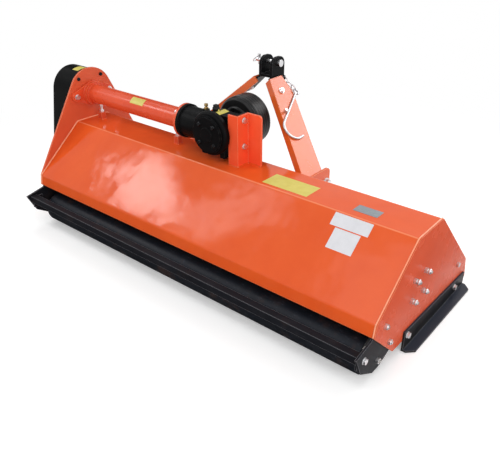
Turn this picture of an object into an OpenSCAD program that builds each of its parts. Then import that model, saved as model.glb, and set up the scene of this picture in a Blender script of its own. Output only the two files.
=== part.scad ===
// Rear-mounted flail mower for a small tractor, driven by the power take-off.
// Millimetres. +X is to the right seen from behind, +Y points at the tractor, +Z is up.
// The origin lies on the ground, under the crossing of the gearbox's two shafts.

/* [Deck] */
// Width over the two side plates
deck_w = 1800; // [1500:10:2200]
// Distance of the deck's middle from the hitch's middle plane
hitch_offset = 50; // [0:5:90]
// Height of the hood's level top above the ground
deck_top_z = 444; // [430:1:470]
// Length of the hood's level top, front to back
deck_top_len = 179; // [160:1:200]
// Distance of the rear fold behind the drive shaft
rear_fold_back = 102; // [95:1:110]
// Run of the rear slope
rear_run = 241; // [230:1:260]
// Drop of the rear slope
rear_drop = 202; // [190:1:210]
// Height of the turned-down rear lip
lip_h = 47; // [35:1:55]
// Lean of the rear lip
lip_lean = 8; // [0:1:12]
// Run of the front slope
front_run = 337; // [320:1:350]
// Drop of the front slope
front_drop = 323; // [310:1:330]
// Forward reach of the side plates below the front slope
nose_lean = 28; // [10:1:40]
// Height of the side plates' front lower corner
nose_z = 22; // [16:1:26]
// Height of the side plates' rear lower corner
heel_z = 44; // [36:1:48]
// Distance of that rear lower corner behind the drive shaft
heel_back = 198; // [180:1:210]
// Thickness of the hood's sheet
sheet_t = 5; // [4:0.5:6]
// Outer radius of the hood's folds
fold_r = 14; // [10:1:18]
// Thickness of the side plates
plate_t = 8; // [6:1:10]

/* [Rotor] */
// Distance of the rotor's axis behind the drive shaft
rotor_back = 60; // [55:1:65]
// Height of the rotor's axis
rotor_z = 244; // [240:1:250]
// Outer diameter of the rotor tube
rotor_tube_d = 108; // [90:1:110]
// Wall of the rotor tube
rotor_wall = 8; // [6:1:10]
// Radius of the hammer pivots
pivot_r = 78; // [76:1:82]
// Radius that the hammers sweep
swing_r = 165; // [155:1:168]
// Diameter of the rotor's stub shafts
rotor_shaft_d = 30; // [25:1:35]
// Spacing of the four bearing bolts
bearing_pitch = 82.5; // [80:0.5:92]
// Hammers in each of the four rows
hammers_per_row = 6; // [5:1:7]
// Width of a hammer's cutting edge
hammer_w = 54; // [40:1:60]

/* [Roller] */
// Distance of the roller's axis behind the drive shaft
roller_back = 297; // [292:1:300]
// Diameter of the rear roller
roller_d = 140; // [120:1:142]
// Wall of the rear roller
roller_wall = 6; // [4:1:8]
// Height of the roller above the ground that the skids stand on
roller_lift = 0.5; // [0.3:0.1:3]
// Gap between the roller's ends and its brackets
roller_end_gap = 30; // [20:1:40]
// Reach of the roller brackets behind the drive shaft
bracket_reach = 442; // [436:1:450]

/* [Skids] */
// Width of a skid's ground flange
skid_w = 45; // [35:1:60]
// Thickness of the skid's angle
skid_t = 8; // [6:1:10]
// Height of the skid's upright flange at the rear
skid_rear_h = 84; // [76:1:90]
// Height of the skid's upright flange at the front
skid_front_h = 62; // [56:1:70]

/* [Drive] */
// Height of the gearbox and drive shaft axis
drive_z = 564; // [560:1:580]
// Outer diameter of the drive tube
tube_d = 89; // [80:1:95]
// Wall of the drive tube
tube_wall = 6; // [4:1:8]
// Diameter of the drive shaft
drive_shaft_d = 35; // [30:1:38]
// Pitch diameter of the upper pulley
upper_pitch_d = 190; // [170:1:196]
// Pitch diameter of the lower pulley
lower_pitch_d = 150; // [130:1:160]
// Number of belts
belts = 4; // [2:1:5]
// Depth of the belt guard
guard_depth = 145; // [140:1:160]
// Radius of the side plate's round head over the drive shaft
head_r = 120; // [116:1:125]

/* [Gearbox] */
// Module of the bevel gears at their large ends
gear_module = 3.6; // [3.2:0.1:3.7]
// Teeth of the crown wheel on the input shaft
crown_teeth = 36; // [36:1:36]
// Teeth of the pinion on the output shaft
pinion_teeth = 12; // [12:1:12]
// Radius of the gearbox's rear cover
case_r = 78; // [77:1:82]
// Distance from the drive axis to the rear cover's outer face
case_back = 82; // [80:1:86]
// Major diameter of the six-spline input shaft
spline_d = 34.9; // [30:0.1:36]
// Radius of the rim of the input shield
shield_r = 106; // [100:1:112]
// Distance from the drive axis to the shield's rim
shield_reach = 198; // [190:1:205]

/* [Hitch] */
// Spread of the two lower hitch points
lower_spread = 683; // [640:1:700]
// Diameter of the lower hitch pins
lower_pin_d = 22; // [20:0.5:24]
// Gap between a lower hitch point's two plates
lower_gap = 52; // [46:1:60]
// Distance of the lower hitch pins ahead of the drive shaft
lower_pin_y = 232; // [225:1:240]
// Height of the lower hitch pins
lower_pin_z = 352; // [345:1:360]
// Height of the top link pin
top_pin_z = 776; // [770:1:780]
// Distance of the top link pin ahead of the drive shaft
top_pin_y = 347; // [343:1:350]
// Diameter of the top link pin
top_pin_d = 19; // [18:0.5:20]
// Gap between the two ears of the top clevis
ear_gap = 48; // [44:1:52]
// Thickness of the hitch plates
hitch_t = 10; // [8:1:12]
// Thickness of the mast legs and the clevis
mast_t = 8; // [6:1:10]

/* [Hidden] */
$fn = 48;

// Finishes
orange = [0.86, 0.27, 0.10];
black = [0.10, 0.10, 0.11];
zinc = [0.80, 0.81, 0.82];
steel = [0.58, 0.59, 0.61];
brass = [0.62, 0.47, 0.22];
rubber = [0.08, 0.08, 0.08];

// Fits that serve every piece
cut = 1;                // overrun of a cut past the face that it opens
run_fit = 0.05;         // radial running clearance of a shaft in its hole
seat_fit = 0.02;        // radial clearance of a pressed or keyed seat
hole_fit = 0.5;         // radial clearance of a bolt in its hole
touch_gap = 0.3;        // gap between curved faces that pass each other

// Bolts: shares of the thread diameter
head_h_share = 0.65;
head_af_share = 1.6;
washer_d_share = 2.1;
washer_t_share = 0.2;
nut_h_share = 0.85;
tail_share = 0.35;
m8 = 8;
m10 = 10;
m12 = 12;

// Deck places
right_x = deck_w / 2 + hitch_offset;
left_x = hitch_offset - deck_w / 2;
in_right_x = right_x - plate_t;
in_left_x = left_x + plate_t;
rear_fold = [-rear_fold_back, deck_top_z];
front_fold = [deck_top_len - rear_fold_back, deck_top_z];
lip_top = [rear_fold[0] - rear_run, deck_top_z - rear_drop];
lip_foot = [lip_top[0] - lip_lean, lip_top[1] - lip_h];
nose_top = [front_fold[0] + front_run, deck_top_z - front_drop];
nose_foot = [nose_top[0] + nose_lean, nose_z];
heel = [-heel_back, heel_z];
rotor_y = -rotor_back;
roller_y = -roller_back;
roller_z = roller_d / 2 + roller_lift;
front_slope = front_drop / front_run;

// Height of the front slope's outer face at a distance y
function front_z(y) = deck_top_z - (y - front_fold[0]) * front_slope;

// Path and tangent helpers
function unit(v) = v / norm(v);
function right_of(d) = [d[1], -d[0]];
function seg(p, i) = unit(p[i + 1] - p[i]);

// One point of a path moved to its right by t, mitred at the folds
function inset_point(p, t, i) =
  i == 0 ? p[0] + right_of(seg(p, 0)) * t
  : i == len(p) - 1 ? p[i] + right_of(seg(p, i - 1)) * t
  : let (a = right_of(seg(p, i - 1)), b = right_of(seg(p, i)))
    p[i] + (a + b) * (t / (1 + a * b));
function inset_path(p, t) = [for (i = [0 : len(p) - 1]) inset_point(p, t, i)];

// Points of an arc that rounds the fold at p[i] with radius r
fold_steps = 4;
function fold_arc(p, i, r) =
  let (
    a = seg(p, i - 1),
    b = seg(p, i),
    half = acos(a * b) / 2,
    back = r * tan(half),
    start = p[i] - a * back,
    centre = start + right_of(a) * r,
    spoke = start - centre
  ) [for (k = [0 : fold_steps])
    let (w = -2 * half * k / fold_steps)
    centre + [spoke[0] * cos(w) - spoke[1] * sin(w), spoke[0] * sin(w) + spoke[1] * cos(w)]];
function round_path(p, r) = concat(
  [p[0]],
  [for (i = [1 : len(p) - 2]) for (q = fold_arc(p, i, r)) q],
  [p[len(p) - 1]]
);

// Outline of a closed sheet of thickness t to the right of a path
function sheet_outline(p, t) =
  let (q = inset_path(p, t)) concat(p, [for (i = [len(q) - 1 : -1 : 0]) q[i]]);

// Touching point on a circle of the line from point p, on its left (side = 1) or right (-1)
function touch(p, c, r, side) =
  let (d = c - p, n = norm(d), w = atan2(d[1], d[0]) + side * asin(r / n), s = sqrt(n * n - r * r))
    p + s * [cos(w), sin(w)];

// Draws its 2D children in the YZ plane and extrudes them from x0 to x1
module across(x0, x1) {
  translate([x0, 0, 0])
    rotate([90, 0, 90])
      linear_extrude(x1 - x0)
        children();
}

// Cylinder along X from x0 to x1 about (y, z)
module bar_x(x0, x1, r, y = 0, z = 0) {
  translate([x0, y, z])
    rotate([0, 90, 0])
      cylinder(h = x1 - x0, r = r);
}

// Cylinder along Y from y0 to y1 about (x, z)
module bar_y(y0, y1, r, x = 0, z = 0) {
  translate([x, y0, z])
    rotate([-90, 0, 0])
      cylinder(h = y1 - y0, r = r);
}

// Two circles and the straight sides that touch both
module capsule(p, rp, q, rq) {
  d = q - p;
  w = atan2(d[1], d[0]);
  lean = acos((rp - rq) / norm(d));
  ends = [for (s = [1, -1]) [cos(w + s * lean), sin(w + s * lean)]];
  translate(p) circle(rp);
  translate(q) circle(rq);
  polygon([p + ends[0] * rp, q + ends[0] * rq, q + ends[1] * rq, p + ends[1] * rp]);
}

// Points of an arc about c from angle w0 to w1
arc_steps = 36;
rod_steps = 12;
function arc_points(c, r, w0, w1, steps = arc_steps) =
  [for (k = [0 : steps]) let (w = w0 + (w1 - w0) * k / steps) c + r * [cos(w), sin(w)]];
function angle_at(c, p) = atan2(p[1] - c[1], p[0] - c[0]);

// Solid swept along a path of plane points, each with its own outward normal.
// The section is a list of [offset along the normal, height over the plane].
module sweep(points, normals, section, closed) {
  n = len(points);
  m = len(section);
  last = closed ? n - 1 : n - 2;
  verts = [for (i = [0 : n - 1]) for (q = section)
    [points[i][0] + normals[i][0] * q[0], points[i][1] + normals[i][1] * q[0], q[1]]];
  walls = [for (i = [0 : last]) for (j = [0 : m - 1])
    [i * m + j, i * m + (j + 1) % m, ((i + 1) % n) * m + (j + 1) % m, ((i + 1) % n) * m + j]];
  caps = closed ? [] : [[for (j = [m - 1 : -1 : 0]) j], [for (j = [0 : m - 1]) (n - 1) * m + j]];
  polyhedron(verts, concat(walls, caps));
}

// Round section of a rod
rod_sides = 14;
function rod_section(r) = [for (j = [0 : rod_sides - 1])
  let (w = 360 * j / rod_sides) [r * cos(w), r * sin(w)]];

// Hexagon prism of width af across the flats
module hex(af, h) {
  cylinder(h = h, d = af / cos(30), $fn = 6);
}

// Bolt along -Z with its head on z = 0, through a stack of thickness grip, with its nut
module bolt(d, grip) {
  washer_t = d * washer_t_share;
  nut_h = d * nut_h_share;
  tail = d * tail_share;
  union() {
    cylinder(h = washer_t, d = d * washer_d_share);
    translate([0, 0, washer_t]) hex(d * head_af_share, d * head_h_share);
    translate([0, 0, -grip - nut_h - tail]) cylinder(h = grip + nut_h + tail, d = d);
  }
  translate([0, 0, -grip - nut_h])
    difference() {
      hex(d * head_af_share, nut_h);
      translate([0, 0, -cut]) cylinder(h = nut_h + 2 * cut, r = d / 2 + seat_fit);
    }
}

// Screw along -Z with its head on z = 0 and a shank of length reach
module screw(d, reach) {
  washer_t = d * washer_t_share;
  union() {
    cylinder(h = washer_t, d = d * washer_d_share);
    translate([0, 0, washer_t]) hex(d * head_af_share, d * head_h_share);
    translate([0, 0, -reach]) cylinder(h = reach, d = d);
  }
}

// Bolt with its head facing +X (dir = 1) or -X (dir = -1) on the plane x, at (y, z)
module bolt_x(d, grip, x, y, z, dir = 1) {
  translate([x, y, z])
    rotate([0, 90 * dir, 0])
      bolt(d, grip);
}

// Hood

hood_path = [lip_foot, lip_top, rear_fold, front_fold, nose_top];

module hood() {
  color(orange)
    across(in_left_x, in_right_x)
      polygon(sheet_outline(round_path(hood_path, fold_r), sheet_t));
}

// Side plates

side_outline = concat(round_path(hood_path, fold_r), [nose_foot, heel]);
bolt_hole_r = m12 / 2 + hole_fit;
bearing_bolts = [for (sy = [-1, 1]) for (sz = [-1, 1])
  [rotor_y + sy * bearing_pitch / 2, rotor_z + sz * bearing_pitch / 2]];
roller_at = [roller_y, roller_z];
// Roller bracket bolts, from the roller's axis
bracket_bolt_steps = [[12, 137], [55, 48]];
bracket_bolts = [for (q = bracket_bolt_steps) roller_at + q];
skid_heel_step = 71;
skid_nose_step = 36;
skid_rear_y = heel[0] + skid_heel_step;
skid_front_y = nose_foot[0] - skid_nose_step;
skid_bolt_end = 20;
skid_front_bolt = 100;
skid_bolts_at = [[skid_rear_y + skid_bolt_end, skid_rear_h - skid_bolt_end],
        [skid_front_y - skid_front_bolt, skid_front_h - skid_bolt_end]];
flap_rod_d = 12;
flap_rod_back = 99;
flap_rod_up = 21;
flap_rod_y = nose_top[0] - flap_rod_back;
flap_rod_z = nose_top[1] + flap_rod_up;
shaft_clear = 7;
shaft_hole_r = rotor_shaft_d / 2 + shaft_clear;
grease_hole_r = 8;

module side_holes(shaft_r) {
  for (p = concat(bearing_bolts, bracket_bolts, skid_bolts_at))
    translate(p) circle(bolt_hole_r);
  translate([flap_rod_y, flap_rod_z]) circle(flap_rod_d / 2 + hole_fit);
  translate([rotor_y, rotor_z]) circle(shaft_r);
}

module right_side_plate() {
  color(orange)
    across(in_right_x, right_x)
      difference() {
        polygon(side_outline);
        side_holes(grease_hole_r);
      }
}

// The left plate rises to a round head that carries the drive tube's end
head_c = [0, drive_z];
head_foot_share = 0.67;
head_foot = front_fold + (nose_top - front_fold) * head_foot_share;
tube_bolt_y = 95;
tube_slot = 14;
drive_clear = 12;
guard_wall = 3;
guard_top_r = 111;
guard_low_r = 107;
guard_bolt_in = 11;
guard_bolts_at = [for (w = [50, 130]) head_c + (guard_top_r - guard_bolt_in) * [cos(w), sin(w)]];
guard_low_bolts_at = [for (w = [-25, 190])
  [rotor_y, rotor_z] + (guard_low_r - guard_bolt_in) * [cos(w), sin(w)]];
head_rear = touch(lip_top, head_c, head_r, 1);
head_front = touch(head_foot, head_c, head_r, -1);
left_outline = concat([lip_foot, lip_top],
  arc_points(head_c, head_r, angle_at(head_c, head_rear), angle_at(head_c, head_front)),
  [head_foot, nose_top, nose_foot, heel]);

module slot_z(r, len) {
  capsule([0, -len / 2], r, [0, len / 2], r);
}

module left_side_plate() {
  color(orange)
    across(left_x, in_left_x)
      difference() {
        polygon(left_outline);
        side_holes(shaft_hole_r);
        translate(head_c) circle(drive_shaft_d / 2 + drive_clear);
        for (s = [-1, 1])
          translate(head_c + [s * tube_bolt_y, 0]) slot_z(bolt_hole_r, tube_slot);
        for (p = concat(guard_bolts_at, guard_low_bolts_at))
          translate(p) circle(m8 / 2 + hole_fit);
      }
}

// Skids: angle irons under the side plates, with the ground flange outwards

skid_toe = 26;

module skid(x, dir) {
  color(black)
    difference() {
      union() {
        across(dir > 0 ? x : x - skid_t, dir > 0 ? x + skid_t : x)
          difference() {
            polygon([[skid_rear_y, 0], [skid_front_y, 0], [skid_front_y, skid_front_h],
              [skid_rear_y, skid_rear_h]]);
            for (p = skid_bolts_at) translate(p) circle(bolt_hole_r);
          }
        linear_extrude(skid_t)
          polygon([[x, skid_rear_y], [x + dir * (skid_w - skid_toe), skid_rear_y],
            [x + dir * skid_w, skid_rear_y + skid_toe], [x + dir * skid_w, skid_front_y - skid_toe],
            [x + dir * (skid_w - skid_toe), skid_front_y], [x, skid_front_y]]);
      }
    }
}

module skid_right() skid(right_x, 1);
module skid_left() skid(left_x, -1);

// Roller brackets, bolted inside the side plates

axle_d = 25;
axle_end_d = m12;
bracket_t = 8;
tie_w = 30;
tie_t = 4;
tie_inset = 20;
tie_up = 88;
tie_bolt_step = [29, -25];
tie_back = bracket_reach - tie_inset;
tie_z = roller_z + tie_up;
tie_bolt = [-tie_back, tie_z] + tie_bolt_step;
bracket_tip_up = 93;
// Bracket corners from the roller's axis, after the rear tip
bracket_steps = [[-52, 112], [-20, 160], [36, 160], [95, 60], [95, -12], [22, -40], [-24, -40], [-106, 12]];
bracket_outline = concat([[-bracket_reach, roller_z + bracket_tip_up]],
  [for (q = bracket_steps) roller_at + q]);

module roller_bracket(x0) {
  color(black)
    across(x0, x0 + bracket_t)
      difference() {
        polygon(bracket_outline);
        for (p = bracket_bolts) translate(p) circle(bolt_hole_r);
        translate(tie_bolt) circle(bolt_hole_r);
        translate([roller_y, roller_z]) circle(axle_end_d / 2 + hole_fit);
      }
}

module roller_bracket_right() roller_bracket(in_right_x - bracket_t);
module roller_bracket_left() roller_bracket(in_left_x);

// Rear roller with its bearings and fixed stub axles

roller_right_x = in_right_x - bracket_t - roller_end_gap;
roller_left_x = in_left_x + bracket_t + roller_end_gap;
roller_disc_t = 18;
roller_disc_in = 14;
bearing_w = 15;
roller_bearing_d = 52;

module roller_disc(x0) {
  difference() {
    bar_x(x0, x0 + roller_disc_t, roller_d / 2 - roller_wall / 2, roller_y, roller_z);
    bar_x(x0 - cut, x0 + roller_disc_t + cut, roller_bearing_d / 2 + seat_fit, roller_y, roller_z);
  }
}

module rear_roller() {
  color(black)
    union() {
      difference() {
        bar_x(roller_left_x, roller_right_x, roller_d / 2, roller_y, roller_z);
        bar_x(roller_left_x - cut, roller_right_x + cut, roller_d / 2 - roller_wall, roller_y, roller_z);
      }
      roller_disc(roller_right_x - roller_disc_in - roller_disc_t);
      roller_disc(roller_left_x + roller_disc_in);
    }
}

module ring_x(x0, w, d_out, d_in, y, z) {
  difference() {
    bar_x(x0, x0 + w, d_out / 2, y, z);
    bar_x(x0 - cut, x0 + w + cut, d_in / 2, y, z);
  }
}

roller_bearing_right_x = roller_right_x - roller_disc_in - roller_disc_t;
roller_bearing_left_x = roller_left_x + roller_disc_in + roller_disc_t - bearing_w;

module roller_bearings() {
  color(steel)
    for (x0 = [roller_bearing_right_x, roller_bearing_left_x])
      ring_x(x0, bearing_w, roller_bearing_d, axle_d + 2 * run_fit, roller_y, roller_z);
}

axle_nut_h = m12 * nut_h_share;

module roller_axle(face_x, inner_x, dir) {
  out_x = face_x + dir * (bracket_t + axle_nut_h + m12 * tail_share);
  bar_x(min(face_x, inner_x), max(face_x, inner_x), axle_d / 2, roller_y, roller_z);
  bar_x(min(face_x, out_x), max(face_x, out_x), axle_end_d / 2, roller_y, roller_z);
}

module roller_axles() {
  color(steel) {
    union() roller_axle(in_right_x - bracket_t, roller_bearing_right_x - bearing_w / 2, 1);
    union() roller_axle(in_left_x + bracket_t, roller_bearing_left_x + 3 * bearing_w / 2, -1);
  }
}

// Angle bar that ties the two brackets together behind the roller

tab_t = 8;
tab_w = 56;

module tie_tab(x0) {
  across(x0, x0 + tab_t)
    difference() {
      translate([-tie_back + tie_t, tie_z - tab_w]) square([tab_w - tie_t, tab_w - tie_t]);
      translate(tie_bolt) circle(bolt_hole_r);
    }
}

module rear_tie_bar() {
  x0 = in_left_x + bracket_t;
  x1 = in_right_x - bracket_t;
  color(black)
    union() {
      across(x0, x1)
        polygon([[-tie_back, tie_z], [-tie_back + tie_w, tie_z], [-tie_back + tie_w, tie_z - tie_t],
          [-tie_back + tie_t, tie_z - tie_t], [-tie_back + tie_t, tie_z - tie_w],
          [-tie_back, tie_z - tie_w]]);
      tie_tab(x0);
      tie_tab(x1 - tab_t);
    }
}

// Rotor

rotor_bearing_t = 34;
rotor_end_gap = 14;
rotor_right_x = in_right_x - rotor_bearing_t - rotor_end_gap;
rotor_left_x = in_left_x + rotor_bearing_t + rotor_end_gap;
rotor_disc_t = 20;
stub_in = 60;
stub_end_gap = 3;
stub_right_end = in_right_x - stub_end_gap;
lug_t = 8;
lug_gap = 20;
lug_r = 17;
lug_root_share = 0.85;
hammer_bolt_d = 14;
hammer_arm_t = 18;
row_angles = [45, 135, 225, 315];
// Hang of each row from its spoke: the upper rows lie at their stops, the lower ones hang plumb
row_hangs = [-90, 90, 45, -45];
station_count = hammers_per_row * len(row_angles);
station = (rotor_right_x - rotor_left_x) / station_count;
function hammer_x(row, i) = rotor_left_x + (i * len(row_angles) + row + 0.5) * station;
function pivot(row) = [rotor_y, rotor_z] + pivot_r * [cos(row_angles[row]), sin(row_angles[row])];

module rotor_lug(x0, w) {
  across(x0, x0 + lug_t)
    translate([rotor_y, rotor_z])
      rotate(w)
        difference() {
          union() {
            translate([rotor_tube_d / 2 * lug_root_share, -lug_r])
              square([pivot_r - rotor_tube_d / 2 * lug_root_share, 2 * lug_r]);
            translate([pivot_r, 0]) circle(lug_r);
          }
          translate([pivot_r, 0]) circle(hammer_bolt_d / 2 + seat_fit);
        }
}

module rotor_tube() {
  color(black)
    difference() {
      union() {
        bar_x(rotor_left_x, rotor_right_x, rotor_tube_d / 2, rotor_y, rotor_z);
        for (row = [0 : len(row_angles) - 1])
          for (i = [0 : hammers_per_row - 1]) {
            rotor_lug(hammer_x(row, i) + lug_gap / 2, row_angles[row]);
            rotor_lug(hammer_x(row, i) - lug_gap / 2 - lug_t, row_angles[row]);
          }
      }
      bar_x(rotor_left_x + rotor_disc_t, rotor_right_x - rotor_disc_t,
        rotor_tube_d / 2 - rotor_wall, rotor_y, rotor_z);
      bar_x(rotor_left_x - cut, rotor_right_x + cut, rotor_shaft_d / 2 + seat_fit, rotor_y, rotor_z);
    }
}

pulley_gap = 23;
belt_pitch = 19;
rim_edge = 6;
pulley_w = belts * belt_pitch + rim_edge;
pulley_in_x = left_x - pulley_gap;
pulley_out_x = pulley_in_x - pulley_w;

module rotor_stubs() {
  color(steel) {
    bar_x(rotor_right_x - stub_in, stub_right_end, rotor_shaft_d / 2, rotor_y, rotor_z);
    bar_x(pulley_out_x - m8 / 2, rotor_left_x + stub_in, rotor_shaft_d / 2, rotor_y, rotor_z);
  }
}

// Square flange bearing unit on the inside of a side plate
bearing_edge = 26;
bearing_corner_share = 0.62;
bearing_side = bearing_pitch + bearing_edge;
bearing_flange_t = 14;
bearing_boss_r = 34;

module rotor_bearing(face_x, dir) {
  x1 = face_x - dir * bearing_flange_t;
  x2 = face_x - dir * rotor_bearing_t;
  color(steel)
    difference() {
      union() {
        across(min(face_x, x1), max(face_x, x1))
          translate([rotor_y, rotor_z])
            intersection() {
              square(bearing_side, center = true);
              circle(bearing_side * bearing_corner_share);
            }
        bar_x(min(face_x, x2), max(face_x, x2), bearing_boss_r, rotor_y, rotor_z);
      }
      bar_x(min(face_x, x2) - cut, max(face_x, x2) + cut, rotor_shaft_d / 2 + run_fit, rotor_y, rotor_z);
      for (p = bearing_bolts)
        bar_x(min(face_x, x2) - cut, max(face_x, x2) + cut, bolt_hole_r, p[0], p[1]);
    }
}

module rotor_bearing_right() rotor_bearing(in_right_x, 1);
module rotor_bearing_left() rotor_bearing(in_left_x, -1);

// Hammer flails: an eye and arm between two lugs, and a wide scooped head

arm_w = 26;
eye_r = 14;
hammer_len = swing_r - pivot_r;
head_len = 34;
head_w = 44;
scoop_r = 60;

module hammer_row(row) {
  p = pivot(row);
  w = row_angles[row] + row_hangs[row];
  color(steel)
    for (i = [0 : hammers_per_row - 1])
      difference() {
        union() {
          across(hammer_x(row, i) - hammer_arm_t / 2, hammer_x(row, i) + hammer_arm_t / 2)
            translate(p) rotate(w) union() {
              circle(eye_r);
              translate([0, -arm_w / 2]) square([hammer_len - head_len / 2, arm_w]);
            }
          across(hammer_x(row, i) - hammer_w / 2, hammer_x(row, i) + hammer_w / 2)
            translate(p) rotate(w) difference() {
              translate([hammer_len - head_len, -head_w / 2]) square([head_len, head_w]);
              for (s = [-1, 1])
                translate([hammer_len - head_len, s * (arm_w / 2 + scoop_r)]) circle(scoop_r);
            }
        }
        bar_x(hammer_x(row, i) - hammer_w, hammer_x(row, i) + hammer_w,
          hammer_bolt_d / 2 + run_fit, p[0], p[1]);
      }
}

module hammer_row_1() hammer_row(0);
module hammer_row_2() hammer_row(1);
module hammer_row_3() hammer_row(2);
module hammer_row_4() hammer_row(3);

module hammer_bolts() {
  color(zinc)
    for (row = [0 : len(row_angles) - 1])
      for (i = [0 : hammers_per_row - 1])
        bolt_x(hammer_bolt_d, lug_gap + 2 * lug_t, hammer_x(row, i) + lug_gap / 2 + lug_t,
          pivot(row)[0], pivot(row)[1]);
}

// Front flaps on their rod

flaps = 24;
flap_t = 5;
flap_eye_r = 11;
flap_len = 104;
flap_gap = 2;
flap_end = m12 * (nut_h_share + tail_share) + flap_gap;
flap_pitch = (in_right_x - in_left_x - 2 * flap_end + flap_gap) / flaps;

module front_flap_rod() {
  nut_h = flap_rod_d * nut_h_share;
  color(zinc)
    union() {
      bar_x(left_x - nut_h, right_x + nut_h, flap_rod_d / 2, flap_rod_y, flap_rod_z);
      for (x0 = [left_x - nut_h, right_x])
        translate([x0, flap_rod_y, flap_rod_z])
          rotate([0, 90, 0])
            hex(flap_rod_d * head_af_share, nut_h);
    }
}

module front_flaps() {
  color(black)
    for (i = [0 : flaps - 1]) {
      x0 = in_left_x + flap_end + i * flap_pitch;
      across(x0, x0 + flap_pitch - flap_gap)
        translate([flap_rod_y, flap_rod_z])
          difference() {
            union() {
              circle(flap_eye_r);
              translate([flap_eye_r - flap_t, -flap_len]) square([flap_t, flap_len]);
            }
            circle(flap_rod_d / 2 + run_fit);
          }
    }
}

// Drive tube: an oval two-bolt flange at the belt side, a round flange at the gearbox

tube_flange_t = 16;
tube_left_x = in_left_x;
tube_right_x = -188;
tube_flange_r = 72;
tube_round_t = 12;
tube_oval_r = 58;
tube_oval_end_r = 24;
tube_collar_r = 56;
tube_bearing_d = 72;
tube_bearing_w = 15;
flange_bolt_r = 61;
flange_grip_share = 0.9;
flange_bolt_angles = [45, 135, 225, 315];

module drive_tube() {
  color(orange)
    difference() {
      union() {
        across(tube_left_x, tube_left_x + tube_flange_t)
          difference() {
            for (s = [-1, 1])
              capsule(head_c, tube_oval_r, head_c + [s * tube_bolt_y, 0], tube_oval_end_r);
            for (s = [-1, 1])
              translate(head_c + [s * tube_bolt_y, 0]) circle(bolt_hole_r);
          }
        bar_x(tube_left_x, tube_left_x + 2 * tube_flange_t, tube_collar_r, 0, drive_z);
        bar_x(tube_left_x, tube_right_x, tube_d / 2, 0, drive_z);
        across(tube_right_x - tube_round_t, tube_right_x)
          translate(head_c) difference() {
            circle(tube_flange_r);
            for (w = flange_bolt_angles)
              translate(flange_bolt_r * [cos(w), sin(w)]) circle(m10 / 2 + hole_fit);
          }
      }
      bar_x(tube_left_x + tube_bearing_w, tube_right_x + cut, tube_d / 2 - tube_wall, 0, drive_z);
      bar_x(tube_left_x - cut, tube_left_x + tube_bearing_w + cut, tube_bearing_d / 2 + seat_fit, 0, drive_z);
    }
}

module tube_bearing() {
  color(steel)
    ring_x(tube_left_x, tube_bearing_w, tube_bearing_d, drive_shaft_d + 2 * run_fit, 0, drive_z);
}

// Gearbox casting

flange_x = tube_right_x;
case_flange_t = 14;
neck_r = 51;
case_x_r = 65;
rim_r = 92;
rim_w = 26;
rim_round = 14;
rim_steps = 6;
foot_x = 50;
foot_w = 24;
foot_h = 46;
foot_down = 100;
foot_len = 44;
pad_x = 122;
pad_t = 14;
pad_w = 60;
pad_h = 156;
pad_up = 12;
pad_z = drive_z + pad_up;
case_front_y = 40;
neck_front_y = 100;
cover_t = 12;
cavity_r = 71;
shaft_bearing_d = 80;
shaft_bearing_w = 18;
input_d = 40;
pinion_shaft_d = 35;
out_bearings_x = [-128, -168];
in_bearings_y = [46, 78];
bracket_bolt_up = 67;
bracket_bolt_down = 41;
bracket_bolts_z = [drive_z + bracket_bolt_up, drive_z - bracket_bolt_down];
cover_screw = 38;
cover_boss_r = 12;
cover_boss_len = 20;
fill_x = -17;
vent_x = -72;
boss_r = 15;
boss_h = 8;

// Four bosses inside the casting's rim take the cover's screws
module cover_bosses() {
  wall_share = case_r / (cover_screw * sqrt(2));
  translate([0, cover_t - case_back, drive_z])
    rotate([-90, 0, 0])
      linear_extrude(cover_boss_len)
        intersection() {
          circle(case_r - cut);
          for (w = [45, 135, 225, 315])
            rotate(w)
              capsule([cover_screw * sqrt(2), 0], cover_boss_r,
                [cover_screw * sqrt(2) * wall_share, 0], cover_boss_r);
        }
}

module gearbox_housing() {
  color(black)
    difference() {
      union() {
        difference() {
          gearbox_casting();
          bar_y(-case_back, case_front_y - pad_t, cavity_r, 0, drive_z);
          bar_y(0, neck_front_y + cut, shaft_bearing_d / 2 + seat_fit, 0, drive_z);
          bar_x(flange_x - cut, 0, shaft_bearing_d / 2 + seat_fit, 0, drive_z);
        }
        cover_bosses();
      }
      for (w = flange_bolt_angles)
        translate([0, flange_bolt_r * cos(w), drive_z + flange_bolt_r * sin(w)])
          bar_x(flange_x - cut, flange_x + m10, m10 / 2 + seat_fit);
      for (z = bracket_bolts_z)
        bar_x(pad_x - pad_t - m12, pad_x + cut, m12 / 2 + seat_fit, 0, z);
      for (x = [-cover_screw, cover_screw])
        for (z = [-cover_screw, cover_screw])
          bar_y(-case_back, cover_t + m8 - case_back, m8 / 2 + seat_fit, x, drive_z + z);
      translate([fill_x, 0, drive_z]) cylinder(h = case_r + boss_h + cut, r = m12 / 2 + seat_fit);
      translate([vent_x, 0, drive_z]) cylinder(h = case_x_r + boss_h + cut, r = m10 / 2 + seat_fit);
    }
}

// Rim of the casting round its rear cover, rounded at the back
module cover_rim() {
  translate([0, cover_t - case_back, drive_z])
    rotate([-90, 0, 0])
      rotate_extrude()
        polygon(concat([[cavity_r, 0], [rim_r - rim_round, 0]],
          arc_points([rim_r - rim_round, rim_round], rim_round, -90, 0, rim_steps),
          [[rim_r, rim_w], [cavity_r, rim_w]]));
}

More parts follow.
